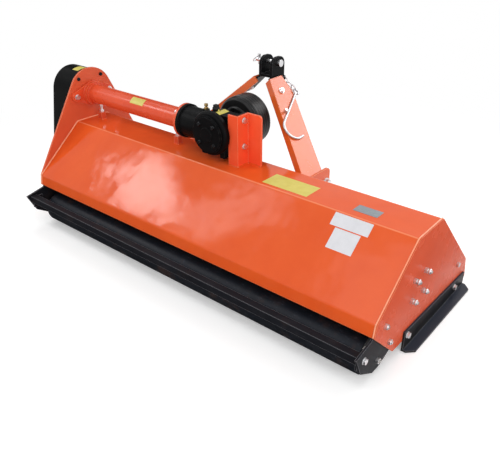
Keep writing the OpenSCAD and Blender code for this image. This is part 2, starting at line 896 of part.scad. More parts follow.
module gearbox_casting() {
  union() {
    bar_y(cover_t - case_back, case_front_y, case_r, 0, drive_z);
    bar_y(0, neck_front_y, neck_r, 0, drive_z);
    bar_x(flange_x, 0, case_x_r, 0, drive_z);
    cover_rim();
    for (x = [-foot_x, foot_x])
      translate([x - foot_w / 2, -foot_len, drive_z - foot_down]) cube([foot_w, foot_len, foot_h]);
    across(0, pad_x - pad_t)
      translate([0, pad_z])
        square([pad_w, pad_h - 2 * pad_t], center = true);
    bar_x(flange_x, flange_x + case_flange_t, tube_flange_r, 0, drive_z);
    across(pad_x - pad_t, pad_x)
      translate([0, pad_z])
        square([pad_w, pad_h], center = true);
    for (w = [0 : 60 : 300])
      translate([0, 0, drive_z])
        rotate([0, w, 0])
          translate([-pad_t / 4, neck_r / 2, 0])
            cube([pad_t / 2, neck_front_y - neck_r / 2 - cover_t, case_r - pad_t / 2]);
    translate([fill_x, 0, drive_z]) cylinder(h = case_r + boss_h, r = boss_r);
    translate([vent_x, 0, drive_z]) cylinder(h = case_x_r + boss_h, r = boss_r);
  }
}

module gearbox_rear_cover() {
  color(black)
    difference() {
      union() {
        bar_y(-case_back + cover_t / 3, cover_t - case_back, case_r, 0, drive_z);
        bar_y(-case_back, cover_t - case_back, case_r - cover_t / 2, 0, drive_z);
        bar_y(-case_back - cover_t / 3, -case_back + cut, cover_screw - m8, 0, drive_z);
      }
      for (x = [-cover_screw, cover_screw])
        for (z = [-cover_screw, cover_screw])
          bar_y(-case_back - cut, cover_t - case_back + cut, m8 / 2 + hole_fit, x, drive_z + z);
    }
}

module gearbox_screws() {
  color(zinc)
    for (x = [-cover_screw, cover_screw])
      for (z = [-cover_screw, cover_screw])
        translate([x, -case_back, drive_z + z])
          rotate([90, 0, 0])
            screw(m8, cover_t + m8 / 2);
}

plug_side = 17;
plug_h = 12;

module filler_plug() {
  color(steel)
    translate([fill_x, 0, drive_z + case_r + boss_h])
      union() {
        cylinder(h = plug_h / 3, r = boss_r);
        translate([-plug_side / 2, -plug_side / 2, plug_h / 3]) cube([plug_side, plug_side, plug_h]);
        translate([0, 0, -plug_h]) cylinder(h = plug_h, d = m12);
      }
}

vent_h = 22;
vent_stem_share = 0.7;
vent_cap_share = 0.4;

module breather() {
  color(brass)
    translate([vent_x, 0, drive_z + case_x_r + boss_h])
      union() {
        hex(m10 * head_af_share, vent_h / 3);
        cylinder(h = vent_h * vent_stem_share, d = m10);
        translate([0, 0, vent_h * (1 - vent_cap_share)])
          cylinder(h = vent_h * vent_cap_share, d = m10 * head_af_share);
        translate([0, 0, -plug_h]) cylinder(h = plug_h, d = m10);
      }
}

// Bevel gears: straight teeth whose flanks follow the involute of the back cone

crown_r = gear_module * crown_teeth / 2;
pinion_r = gear_module * pinion_teeth / 2;
cone_len = norm([crown_r, pinion_r]);
pinion_cone = atan2(pinion_r, crown_r);
crown_cone = 90 - pinion_cone;
face_share = 0.29;
gear_face = cone_len * face_share;
pressure = 20;
tooth_share = 0.46;
pinion_add_share = 1.0;
crown_add_share = 0.6;
root_clear_share = 0.25;
tooth_sink_share = 0.2;
flank_steps = 4;
function involute(a) = tan(a) - a * PI / 180;

// Half angle, in degrees, of a tooth at radius r on a virtual spur gear of radius rv
function half_angle(r, rv) =
  let (rb = rv * cos(pressure), t = tooth_share * PI * gear_module)
    (t / (2 * rv) + involute(pressure) - involute(acos(min(1, rb / max(r, rb))))) * 180 / PI;

function tooth_outline(rv, add, ded) =
  let (flank = [for (k = [0 : flank_steps])
    let (r = rv - ded + (add + ded) * k / flank_steps, w = half_angle(r, rv))
      [r * sin(w), r * cos(w) - rv]])
    concat(flank, [for (k = [flank_steps : -1 : 0]) [-flank[k][0], flank[k][1]]]);

// Gear about Z with its apex at the origin and its large end below
module bevel_gear(teeth, r, cone, add, ded, bore_r, hub, phase) {
  sink = gear_module * tooth_sink_share;
  keep = (cone_len - gear_face) / cone_len;
  big = [r - ded * cos(cone), -cone_len * cos(cone) - ded * sin(cone)];
  small = big * keep;
  rotate_extrude()
    polygon([[bore_r, big[1] - hub], [big[0], big[1] - hub], big, small, [bore_r, small[1]]]);
  for (i = [0 : teeth - 1])
    rotate([0, 0, phase + i * 360 / teeth])
      translate([r, 0, -cone_len * cos(cone)])
        rotate([0, -cone, 0])
          rotate([0, 0, -90])
            linear_extrude(gear_face, scale = keep)
              polygon(tooth_outline(r / cos(cone), add, ded + sink));
}

crown_hub = 14;
crown_ded = gear_module * (pinion_add_share + root_clear_share);
pinion_ded = gear_module * (crown_add_share + root_clear_share);

module crown_gear() {
  color(steel)
    translate([0, 0, drive_z])
      rotate([-90, 0, 0])
        bevel_gear(crown_teeth, crown_r, crown_cone, gear_module * crown_add_share, crown_ded,
          input_d / 2 + seat_fit, crown_hub, 180 + 180 / crown_teeth);
}

coupling_x = -240;
coupling_len = 90;
coupling_d = 54;

module pinion_shaft() {
  color(steel)
    translate([0, 0, drive_z])
      union() {
        rotate([0, 90, 0])
          bevel_gear(pinion_teeth, pinion_r, pinion_cone, gear_module * pinion_add_share, pinion_ded,
            0, gear_module, -90);
        bar_x(coupling_x, -crown_r, pinion_shaft_d / 2);
      }
}

// Input shaft with six splines for the tractor's drive shaft
spline_len = 84;
spline_root_share = 0.85;
spline_w_share = 0.25;
spline_count = 6;
input_tail = 58;

module input_shaft() {
  color(steel)
    translate([0, 0, drive_z])
      union() {
        bar_y(-input_tail, neck_front_y, input_d / 2);
        bar_y(neck_front_y - cut, neck_front_y + spline_len, spline_d / 2 * spline_root_share);
        intersection() {
          bar_y(neck_front_y - cut, neck_front_y + spline_len, spline_d / 2);
          for (i = [0 : spline_count / 2 - 1])
            rotate([0, i * 360 / spline_count, 0])
              translate([-spline_d * spline_w_share / 2, neck_front_y - cut, -spline_d])
                cube([spline_d * spline_w_share, spline_len + cut, 2 * spline_d]);
        }
      }
}

module gearbox_bearings() {
  color(steel) {
    for (x0 = out_bearings_x)
      ring_x(x0, shaft_bearing_w, shaft_bearing_d, pinion_shaft_d + 2 * run_fit, 0, drive_z);
    for (y0 = in_bearings_y)
      difference() {
        bar_y(y0, y0 + shaft_bearing_w, shaft_bearing_d / 2, 0, drive_z);
        bar_y(y0 - cut, y0 + shaft_bearing_w + cut, input_d / 2 + run_fit, 0, drive_z);
      }
  }
}

// Drive shaft, coupling, pulleys and belts

module drive_shaft() {
  color(steel)
    bar_x(pulley_out_x - m8 / 2, coupling_x - touch_gap, drive_shaft_d / 2, 0, drive_z);
}

module shaft_coupling() {
  color(steel)
    ring_x(coupling_x - coupling_len / 2, coupling_len, coupling_d,
      max(drive_shaft_d, pinion_shaft_d) + 2 * seat_fit, 0, drive_z);
}

belt_top_w = 16;
belt_root_w = 7.8;
belt_up = 3;
belt_down = 10;
groove_gap = 0.4;
rim_up = 3.5;
groove_floor = 1.5;
groove_down = belt_down + groove_floor;
groove_flank = (belt_top_w - belt_root_w) / 2 / (belt_up + belt_down);

// Half width of a groove at height h over the pitch line
function groove_half(h) = belt_top_w / 2 + groove_gap - (belt_up - h) * groove_flank;
function belt_x(i) = (i - (belts - 1) / 2) * belt_pitch;

// Outline of a grooved rim on the right of the axis, over its width w
function rim_outline(pd, bore, w) = concat(
  [[bore, -w / 2], [pd / 2 + rim_up, -w / 2]],
  [for (i = [0 : belts - 1]) for (q = [
    [rim_up, -groove_half(rim_up)], [-groove_down, -groove_half(-groove_down)],
    [-groove_down, groove_half(-groove_down)], [rim_up, groove_half(rim_up)]])
    [pd / 2 + q[0], belt_x(i) + q[1]]],
  [[pd / 2 + rim_up, w / 2], [bore, w / 2]]
);
pulley_mid_x = (pulley_in_x + pulley_out_x) / 2;
hub_r = 34;
web_share = 0.35;

module pulley(pd, bore, y, z) {
  rim_r = pd / 2 - groove_down - rotor_wall;
  translate([pulley_mid_x, y, z])
    rotate([0, 90, 0])
      difference() {
        rotate_extrude() polygon(rim_outline(pd, bore, pulley_w));
        translate([0, 0, -pulley_w / 2 - cut])
          difference() {
            cylinder(h = pulley_w * web_share + cut, r = rim_r);
            cylinder(h = pulley_w * web_share + cut, r = hub_r);
          }
      }
}

module upper_pulley() {
  color(steel) pulley(upper_pitch_d, drive_shaft_d / 2 + seat_fit, 0, drive_z);
}

module lower_pulley() {
  color(steel) pulley(lower_pitch_d, rotor_shaft_d / 2 + seat_fit, rotor_y, rotor_z);
}

belt_c = [head_c, [rotor_y, rotor_z]];
belt_r = [upper_pitch_d / 2, lower_pitch_d / 2];
belt_dir = belt_c[1] - belt_c[0];
belt_w = atan2(belt_dir[1], belt_dir[0]);
belt_lean = acos((belt_r[0] - belt_r[1]) / norm(belt_dir));
belt_section = [[belt_up, -belt_top_w / 2], [belt_up, belt_top_w / 2],
  [-belt_down, belt_root_w / 2], [-belt_down, -belt_root_w / 2]];
belt_angles = [[belt_w + belt_lean, belt_w + 360 - belt_lean], [belt_w - belt_lean, belt_w + belt_lean]];
belt_path = [for (k = [0, 1])
  for (q = arc_points(belt_c[k], belt_r[k], belt_angles[k][0], belt_angles[k][1])) q];
belt_normals = [for (k = [0, 1]) for (q = arc_points([0, 0], 1, belt_angles[k][0], belt_angles[k][1])) q];

module drive_belts() {
  color(rubber)
    for (i = [0 : belts - 1])
      translate([pulley_mid_x + belt_x(i), 0, 0])
        rotate([90, 0, 90])
          sweep(belt_path, belt_normals, belt_section, true);
}

// Belt guard: a deep pressed cover over both pulleys

guard_x = left_x - guard_depth;
guard_lug_r = 14;
guard_lug_t = 10;

module guard_shape(wall) {
  capsule(belt_c[0], guard_top_r - wall, belt_c[1], guard_low_r - wall);
}

module belt_guard() {
  color(black)
    difference() {
      union() {
        difference() {
          across(guard_x, left_x) guard_shape(0);
          across(guard_x + guard_wall, left_x + cut) guard_shape(guard_wall);
        }
        across(left_x - guard_lug_t, left_x)
          intersection() {
            guard_shape(guard_wall / 2);
            for (p = concat(guard_bolts_at, guard_low_bolts_at)) translate(p) circle(guard_lug_r);
          }
      }
      for (p = concat(guard_bolts_at, guard_low_bolts_at))
        bar_x(left_x - guard_lug_t - cut, left_x + cut, m8 / 2 + hole_fit, p[0], p[1]);
    }
}

module guard_bolts() {
  color(zinc)
    for (p = concat(guard_bolts_at, guard_low_bolts_at))
      bolt_x(m8, plate_t + guard_lug_t, in_left_x, p[0], p[1]);
}

// Bolts through the side plates and the roller brackets

module side_bolts() {
  color(zinc) {
    for (p = bearing_bolts) {
      bolt_x(m12, bearing_flange_t + plate_t, in_right_x - bearing_flange_t, p[0], p[1], -1);
      bolt_x(m12, bearing_flange_t + plate_t, in_left_x + bearing_flange_t, p[0], p[1], 1);
    }
    for (p = bracket_bolts) {
      bolt_x(m12, bracket_t + plate_t, in_right_x - bracket_t, p[0], p[1], -1);
      bolt_x(m12, bracket_t + plate_t, in_left_x + bracket_t, p[0], p[1], 1);
    }
    for (p = skid_bolts_at) {
      bolt_x(m12, skid_t + plate_t, right_x + skid_t, p[0], p[1], 1);
      bolt_x(m12, skid_t + plate_t, left_x - skid_t, p[0], p[1], -1);
    }
    bolt_x(m12, bracket_t + tab_t, in_right_x, tie_bolt[0], tie_bolt[1], 1);
    bolt_x(m12, bracket_t + tab_t, in_left_x, tie_bolt[0], tie_bolt[1], -1);
    for (x0 = [in_right_x, in_left_x - axle_nut_h])
      difference() {
        translate([x0, roller_y, roller_z]) rotate([0, 90, 0]) hex(m12 * head_af_share, axle_nut_h);
        bar_x(x0 - cut, x0 + axle_nut_h + cut, axle_end_d / 2 + seat_fit, roller_y, roller_z);
      }
  }
}

// Gearbox bracket: a folded Z section that stands on the hood

zed_t = 8;
zed_rear_y = -39;
zed_front_y = 33;
zed_rear_x = 80;
zed_front_x = 197;
zed_top = 655;
zed_web_x = pad_x + zed_t;
zed_corner = 16;

module gearbox_bracket() {
  zed_h = zed_top - deck_top_z;
  color(orange)
    difference() {
      translate([0, 0, deck_top_z])
        linear_extrude(zed_h)
          polygon([[zed_rear_x, zed_rear_y], [zed_web_x, zed_rear_y], [zed_web_x, zed_front_y - zed_t],
            [zed_front_x, zed_front_y - zed_t], [zed_front_x, zed_front_y], [pad_x, zed_front_y],
            [pad_x, zed_rear_y + zed_t], [zed_rear_x, zed_rear_y + zed_t]]);
      for (z = bracket_bolts_z)
        across(pad_x - cut, zed_web_x + cut)
          translate([0, z]) slot_z(bolt_hole_r, tube_slot);
      translate([zed_front_x - zed_corner, zed_front_y - zed_t - cut, zed_top - zed_corner])
        difference() {
          cube([zed_corner + cut, zed_t + 2 * cut, zed_corner + cut]);
          bar_y(-cut, zed_t + 3 * cut, zed_corner);
        }
    }
}

// Belt adjusters: set screws in posts under the drive tube

post_w = 26;
post_h = 34;
post_in = 62;
post_xs = [in_left_x + post_in, tube_right_x - post_in];
screw_top_gap = touch_gap;

module adjuster_posts() {
  color(orange)
    for (x = post_xs)
      difference() {
        translate([x - post_w / 2, -post_w / 2, deck_top_z]) cube([post_w, post_w, post_h]);
        translate([x, 0, deck_top_z + post_h / 4]) cylinder(h = post_h, r = m12 / 2 + seat_fit);
      }
}

module adjuster_screws() {
  screw_z = deck_top_z + post_h / 2;
  screw_top = drive_z - tube_d / 2 - screw_top_gap;
  color(zinc)
    for (x = post_xs) {
      translate([x, 0, screw_z]) union() {
        cylinder(h = screw_top - screw_z, d = m12);
        translate([0, 0, screw_top - screw_z - m12 * head_h_share - touch_gap])
          hex(m12 * head_af_share, m12 * head_h_share);
      }
      translate([x, 0, deck_top_z + post_h])
        difference() {
          hex(m12 * head_af_share, m12 * nut_h_share);
          translate([0, 0, -cut]) cylinder(h = m12 * nut_h_share + 2 * cut, r = m12 / 2 + seat_fit);
        }
    }
}

// Lower hitch points: pairs of plates welded on the hood's front slope

hitch_top_z = 416;
hitch_edge = 30;
hitch_front_y = lower_pin_y + hitch_edge;
hitch_corner = 24;
hitch_in = lower_spread / 2 - lower_gap / 2;
hitch_out = lower_spread / 2 + lower_gap / 2;
hitch_rear_y = front_fold[0] + (deck_top_z - hitch_top_z) / front_slope;

module hitch_shape() {
  difference() {
    union() {
      polygon([[hitch_rear_y, hitch_top_z], [hitch_front_y - hitch_corner, hitch_top_z],
        [hitch_front_y - hitch_corner, hitch_top_z - hitch_corner],
        [hitch_front_y, hitch_top_z - hitch_corner],
        [hitch_front_y, front_z(hitch_front_y)]]);
      translate([hitch_front_y - hitch_corner, hitch_top_z - hitch_corner]) circle(hitch_corner);
    }
    translate([lower_pin_y, lower_pin_z]) circle(lower_pin_d / 2 + seat_fit);
  }
}

module lower_hitch(dir) {
  color(orange)
    for (x0 = [dir * hitch_out, dir * (hitch_in - hitch_t)])
      across(min(x0, x0 + dir * hitch_t), max(x0, x0 + dir * hitch_t)) hitch_shape();
}

module lower_hitch_right() lower_hitch(1);
module lower_hitch_left() lower_hitch(-1);

module lower_link_pins() {
  color(zinc)
    for (dir = [-1, 1])
      bolt_x(lower_pin_d, lower_gap + 2 * hitch_t, dir * (hitch_out + hitch_t),
        lower_pin_y, lower_pin_z, dir);
}

// Mast legs: folded plates that lean in and forward from the lower hitch points

leg_foot_z = 409;
leg_top_x = 43;
leg_top_drop = 54;
leg_top_z = top_pin_z - leg_top_drop;
leg_flange = 30;
leg_len = norm([hitch_out - leg_top_x, leg_top_z - leg_foot_z]);
leg_lean = atan2(hitch_out - leg_top_x, leg_top_z - leg_foot_z);
leg_rear_foot = 87;
leg_front_foot = 216;
leg_rear_top = 273;
leg_front_top = 358;
leg_knee_share = 0.8;
leg_over = 14;
clevis_bolt_y = 296;
clevis_bolt_down = 66;
clevis_bolt = [clevis_bolt_y, leg_len - clevis_bolt_down];
leg_rear_rate = (leg_rear_top - leg_rear_foot) / leg_len;
leg_front_rate = (leg_front_top - leg_front_foot) / (leg_len * leg_knee_share);
peg_d = 12;

// Places children, drawn in a leg's own plane, on the right leg's outer face
module on_leg() {
  translate([hitch_out, 0, leg_foot_z])
    rotate([0, -leg_lean, 0])
      children();
}

module leg_right_solid() {
  intersection() {
    on_leg() union() {
      across(-mast_t, 0)
        difference() {
          polygon([[leg_rear_foot - leg_over * leg_rear_rate, -leg_over],
            [leg_front_foot - leg_over * leg_front_rate, -leg_over],
            [leg_front_top, leg_len * leg_knee_share], [leg_front_top, leg_len], [leg_rear_top, leg_len]]);
          translate(clevis_bolt) circle(bolt_hole_r);
          translate(peg_at) circle(peg_d / 2 + seat_fit);
        }
      across(-leg_flange, 0)
        polygon([[leg_rear_foot - leg_over * leg_rear_rate, -leg_over],
          [leg_rear_foot - leg_over * leg_rear_rate + mast_t, -leg_over],
          [leg_rear_top + mast_t, leg_len], [leg_rear_top, leg_len]]);
    }
    across(0, hitch_out)
      polygon([front_fold, nose_top, [nose_top[0], leg_top_z + leg_len], [rear_fold[0], leg_top_z + leg_len],
        rear_fold]);
  }
}

module mast_leg_right() {
  color(orange) leg_right_solid();
}

module mast_leg_left() {
  color(orange) mirror([1, 0, 0]) leg_right_solid();
}

// Top clevis: two ears on a base, with wings bolted inside the legs

ear_t = 12;
ear_behind = 47;
ear_ahead = 40;
ear_foot_drop = 3;
ear_crown = 27;
ear_rear_y = top_pin_y - ear_behind;
ear_front_y = top_pin_y + ear_ahead;
ear_foot_z = leg_top_z - ear_foot_drop;
ear_top_z = top_pin_z + ear_crown;
ear_corner = 34;
ear_out = ear_gap / 2 + ear_t;
wing_len = 112;
wing_rear_y = 285;
wing_front_y = 353;
chain_hole_y = 378;
chain_hole_down = 6;
chain_hole_r = 7;
chain_rim = 5;
chain_hole = [chain_hole_y, leg_len - chain_hole_down];

module ear_shape() {
  difference() {
    union() {
      translate([ear_rear_y, ear_foot_z])
        square([ear_front_y - ear_rear_y, ear_top_z - ear_corner - ear_foot_z]);
      translate([ear_rear_y + ear_corner, ear_foot_z])
        square([ear_front_y - ear_rear_y - 2 * ear_corner, ear_top_z - ear_foot_z]);
      for (y = [ear_rear_y + ear_corner, ear_front_y - ear_corner])
        translate([y, ear_top_z - ear_corner]) circle(ear_corner);
    }
    translate([top_pin_y, top_pin_z]) circle(top_pin_d / 2 + seat_fit);
  }
}

module clevis_half() {
  across(ear_gap / 2, ear_out) ear_shape();
  on_leg()
    across(-2 * mast_t, -mast_t)
      difference() {
        translate([wing_rear_y, leg_len - wing_len])
          square([wing_front_y - wing_rear_y, wing_len + mast_t]);
        translate(clevis_bolt) circle(bolt_hole_r);
      }
}

// The right wing runs on past the leg's edge, with a hole for the hook's chain
module chain_lug() {
  lug_out = chain_hole_r + chain_rim;
  on_leg()
    across(-2 * mast_t, -mast_t)
      difference() {
        union() {
          translate(chain_hole) circle(lug_out);
          translate([wing_front_y - lug_out, chain_hole[1] - lug_out])
            square([chain_hole[0] - wing_front_y + lug_out, 2 * lug_out]);
        }
        translate(chain_hole) circle(chain_hole_r);
      }
}

module top_clevis() {
  color(black)
    union() {
      chain_lug();
      clevis_half();
      mirror([1, 0, 0]) clevis_half();
      translate([-ear_out, ear_rear_y, ear_foot_z]) cube([2 * ear_out, ear_front_y - ear_rear_y, ear_t]);
    }
}

// Top link pin with its linchpin and snap ring

pin_head_r = 15;
pin_head_t = 13;
linchpin_d = 10;
linchpin_step = 36;
pin_tail = 12;
linchpin_x = -ear_out - linchpin_step;
pin_tail_x = linchpin_x - pin_tail;
linchpin_up = 24;
linchpin_down = 20;
linchpin_head_h = 14;
linchpin_head_share = 0.7;
ring_r = 19;
ring_wire = 3.5;
ring_tilt = 44;
ring_hole_down = 8;
ring_z = top_pin_z + linchpin_up - ring_hole_down;

module top_link_pin() {
  color(zinc)
    difference() {
      union() {
        bar_x(pin_tail_x, ear_out, top_pin_d / 2, top_pin_y, top_pin_z);
        bar_x(ear_out, ear_out + pin_head_t, pin_head_r, top_pin_y, top_pin_z);
      }
      translate([linchpin_x, top_pin_y, top_pin_z - top_pin_d])
        cylinder(h = 2 * top_pin_d, r = linchpin_d / 2 + seat_fit);
    }
}

module top_linchpin() {
  color(zinc)
    difference() {
      translate([linchpin_x, top_pin_y, top_pin_z - linchpin_down]) union() {
        cylinder(h = linchpin_down + linchpin_up, d = linchpin_d);
        translate([0, 0, linchpin_down + linchpin_up - linchpin_head_h])
          cylinder(h = linchpin_head_h, r = linchpin_d * linchpin_head_share);
      }
      bar_y(top_pin_y - linchpin_d, top_pin_y + linchpin_d, ring_wire, linchpin_x, ring_z);
    }
}

module linchpin_ring() {
  color(zinc)
    translate([linchpin_x, top_pin_y, ring_z])
      rotate([0, ring_tilt, 0])
        translate([0, 0, -ring_r])
          rotate([0, 90, 0])
            rotate_extrude()
              translate([ring_r, 0]) circle(ring_wire / 2, $fn = 24);
}

// Hook that carries the tractor's drive shaft when it is unhitched, on a short chain

hook_d = 10;
hook_bend_r = 47;
hook_turn = 155;
hook_tip = 24;
hook_eye_at = [371, 356];
hook_heel_at = [189, 253];
hook_off = hook_d / 2 + touch_gap;
eye_ring_r = 11;
eye_open = 40;
hook_run = hook_heel_at - hook_eye_at;
hook_heading = atan2(hook_run[1], hook_run[0]);
bend_c = hook_heel_at + hook_bend_r * [-sin(hook_heading), cos(hook_heading)];
bend_start = hook_heading - 90;
bend_end = bend_start + hook_turn;
tip_at = bend_c + hook_bend_r * [cos(bend_end), sin(bend_end)];
eye_start = hook_heading + eye_open;
eye_stop = hook_heading + 360;
bend_sweep = arc_points(bend_c, hook_bend_r, bend_start, bend_end, 2 * rod_steps);
eye_sweep = arc_points(hook_eye_at, eye_ring_r, eye_start, eye_stop, 2 * rod_steps);
hook_path = concat(eye_sweep, bend_sweep, [tip_at + hook_tip * [-sin(bend_end), cos(bend_end)]]);

// Outward normal of an open path at point i
function path_normal(p, i) =
  let (a = p[max(0, i - 1)], b = p[min(len(p) - 1, i + 1)]) right_of(unit(b - a));
hook_normals = [for (i = [0 : len(hook_path) - 1]) path_normal(hook_path, i)];
peg_slack = 4;
peg_share = 0.27;
peg_at = hook_heel_at - hook_run * peg_share
  + (hook_d / 2 + peg_d / 2 + peg_slack) * [sin(hook_heading), -cos(hook_heading)];

// Children drawn in the leg's plane, lifted off its outer face by the rod's radius
module on_hook_plane() {
  on_leg()
    translate([hook_off, 0, 0])
      rotate([90, 0, 90])
        children();
}

module pto_hook() {
  color(zinc)
    on_hook_plane()
      sweep(hook_path, hook_normals, rod_section(hook_d / 2), false);
}

// Chain of links from the clevis to the hook's eye, in the right leg's own frame

links = 3;
link_wire = 6;
link_in_w = 12;
link_slack = 0.4;
chain_top = [-1.5 * mast_t, chain_hole[0], chain_hole[1] - chain_hole_r - chain_rim / 2];
chain_rim_r = norm([mast_t, chain_rim]) / 2;
eye_up = unit(chain_hole - hook_eye_at) * eye_ring_r;
chain_foot = [hook_off, hook_eye_at[0] + eye_up[0], hook_eye_at[1] + eye_up[1]];
chain_run = chain_foot - chain_top;
chain_len = norm(chain_run);
link_in = (chain_len + chain_rim_r + hook_d / 2 + (links + 1) * link_slack) / links;
link_half = (link_in - link_in_w) / 2;
link_r = (link_in_w + link_wire) / 2;
link_path = concat(arc_points([link_half, 0], link_r, -90, 90, rod_steps),
  arc_points([-link_half, 0], link_r, 90, 270, rod_steps));
link_normals = concat(arc_points([0, 0], 1, -90, 90, rod_steps), arc_points([0, 0], 1, 90, 270, rod_steps));
chain_pitch = link_in - link_slack;
chain_first = link_in / 2 - chain_rim_r - link_slack;
chain_yaw = atan2(chain_run[1], chain_run[0]);
chain_dip = atan2(chain_run[2], norm([chain_run[0], chain_run[1]]));
chain_roll = 90 + chain_yaw;

module hook_chain() {
  color(zinc)
    on_leg()
      translate(chain_top)
        rotate([0, 0, chain_yaw])
          rotate([0, -chain_dip, 0])
            for (i = [0 : links - 1])
              translate([chain_first + i * chain_pitch, 0, 0])
                rotate([chain_roll + 90 * i, 0, 0])
                  sweep(link_path, link_normals, rod_section(link_wire / 2), true);
}

module hook_peg() {
  color(zinc)
    on_leg()
      bar_x(-mast_t, hook_d + mast_t, peg_d / 2, peg_at[0], peg_at[1]);
}

// Input shield: a moulded bell round the splined shaft

shield_wall = 3;
shield_base_r = 62;
shield_base_y = neck_front_y + shield_wall;
shield_seat = 30;
// Bell corners: step in from the rim, step out from the base
shield_steps = [[10, 7], [3, 13], [0, 24]];
shield_foot = [8, 6];
shield_profile = concat([[shield_r, shield_reach - shield_base_y]],
  [for (i = [2, 1, 0]) [shield_r - shield_steps[i][0], shield_steps[i][1]]],
  [[shield_base_r + shield_foot[0], shield_foot[1]], [shield_base_r, 0], [shield_base_r - shield_seat, 0]]);

module pto_shield() {
  color(black)
    translate([0, shield_base_y, drive_z])
      rotate([-90, 0, 0])
        rotate_extrude($fn = 96)
          polygon(sheet_outline(shield_profile, -shield_wall));
}

// Bolts of the gearbox bracket, drive tube and top clevis

module frame_bolts() {
  color(zinc) {
    for (z = bracket_bolts_z)
      translate([zed_web_x, 0, z]) rotate([0, 90, 0]) screw(m12, zed_t + pad_t + m12 * nut_h_share);
    for (s = [-1, 1])
      bolt_x(m12, plate_t + tube_flange_t, tube_left_x + tube_flange_t, s * tube_bolt_y, drive_z);
    for (w = flange_bolt_angles)
      translate([tube_right_x - tube_round_t, flange_bolt_r * cos(w), drive_z + flange_bolt_r * sin(w)])
        rotate([0, -90, 0]) screw(m10, tube_round_t + m10 * flange_grip_share);
    for (m = [0, 1])
      mirror([m, 0, 0])
        on_leg()
          bolt_x(m12, 2 * mast_t, 0, clevis_bolt[0], clevis_bolt[1]);
  }
}

hood();
right_side_plate();
left_side_plate();
skid_right();
skid_left();
roller_bracket_right();
roller_bracket_left();
rear_roller();
roller_bearings();
roller_axles();
rear_tie_bar();
rotor_tube();
rotor_stubs();
rotor_bearing_right();
rotor_bearing_left();
hammer_row_1();
hammer_row_2();
hammer_row_3();
hammer_row_4();
hammer_bolts();
side_bolts();
front_flap_rod();
front_flaps();
drive_tube();
tube_bearing();
drive_shaft();
shaft_coupling();
upper_pulley();
lower_pulley();
drive_belts();
belt_guard();
guard_bolts();
gearbox_housing();
gearbox_rear_cover();
gearbox_screws();
filler_plug();
breather();
input_shaft();
crown_gear();
pinion_shaft();
gearbox_bearings();
gearbox_bracket();
frame_bolts();
adjuster_posts();
adjuster_screws();
pto_shield();
lower_hitch_right();
lower_hitch_left();
lower_link_pins();
mast_leg_right();
mast_leg_left();
top_clevis();
top_link_pin();
top_linchpin();
linchpin_ring();
pto_hook();
hook_chain();
hook_peg();
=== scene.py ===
import math

import bpy
from mathutils import Matrix, Vector


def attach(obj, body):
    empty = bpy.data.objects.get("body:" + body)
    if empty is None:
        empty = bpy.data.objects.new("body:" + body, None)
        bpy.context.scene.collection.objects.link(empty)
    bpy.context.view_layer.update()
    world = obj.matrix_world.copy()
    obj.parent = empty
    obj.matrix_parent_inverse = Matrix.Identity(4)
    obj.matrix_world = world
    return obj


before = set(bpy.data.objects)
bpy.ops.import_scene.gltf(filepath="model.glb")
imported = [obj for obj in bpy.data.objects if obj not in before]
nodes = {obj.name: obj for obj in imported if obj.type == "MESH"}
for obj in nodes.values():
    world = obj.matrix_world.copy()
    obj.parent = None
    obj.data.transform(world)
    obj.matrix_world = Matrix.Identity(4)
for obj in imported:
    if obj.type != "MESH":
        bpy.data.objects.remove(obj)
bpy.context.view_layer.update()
bpy.ops.object.select_all(action="DESELECT")

# Studio: a plain white sweep under soft panels, seen from behind, above and to the right.
# Panels show as a pale cloud on the rear slope, as a line on the fold and on the right mast leg.
# Dark cards out of the picture take the glare off what faces the floor, and shade the level top.
camera_place = Vector((1.55741, -1.70007, 1.39517))
camera_heading = Vector((-0.55504, 0.67546, -0.48528))
camera_lens = 42.45
film_width = 36
bpy.ops.object.camera_add(location=camera_place)
camera = bpy.context.object
camera.data.lens = camera_lens
camera.data.sensor_width = film_width
camera.rotation_euler = camera_heading.to_track_quat("-Z", "Y").to_euler()
bpy.context.scene.camera = camera
bpy.context.scene.view_settings.view_transform = "Standard"


def soft_panel(name, place, aim, width, height, watts):
    bpy.ops.object.light_add(type="AREA", location=place)
    panel = bpy.context.object
    panel.name = name
    panel.data.shape = "RECTANGLE"
    panel.data.size = width
    panel.data.size_y = height
    panel.data.energy = watts
    panel.rotation_euler = (Vector(aim) - Vector(place)).to_track_quat("-Z", "Y").to_euler()


machine_middle = (0.2, 0.0, 0.4)
soft_panel("cloud_panel", (-2.1, -1.12, 2.05), aim=(-0.2, -0.24, 0.33), width=0.5, height=0.5, watts=10)
soft_panel("wisp_panel", (-1.3, -1.1, 2.25), aim=(0.14, -0.24, 0.33), width=0.22, height=0.9, watts=3.2)
soft_panel("fold_panel", (-1.6, 0.62, 2.5), aim=(0.0, -0.1, 0.44), width=1.5, height=0.45, watts=9)
soft_panel("leg_panel", (1.02, 2.23, 2.0), aim=(0.2, 0.23, 0.56), width=1.6, height=1.2, watts=32)
soft_panel("side_panel", (3.1, -1.0, 1.3), aim=machine_middle, width=2.0, height=1.6, watts=26)
soft_panel("overhead_panel", (0.7, -2.1, 2.95), aim=machine_middle, width=3.0, height=2.2, watts=36)


def set_or_link(tree, value, socket):
    if isinstance(value, bpy.types.NodeSocket):
        tree.links.new(value, socket)
    else:
        socket.default_value = value


def shader_node(tree, kind, values=None, **settings):
    made = tree.nodes.new("ShaderNode" + kind)
    for name, value in settings.items():
        setattr(made, name, value)
    for name, value in (values or {}).items():
        set_or_link(tree, value, made.inputs[name])
    return made


def math_node(tree, operation, *values, clamp=False):
    made = shader_node(tree, "Math", dict(enumerate(values)), operation=operation, use_clamp=clamp)
    return made.outputs[0]


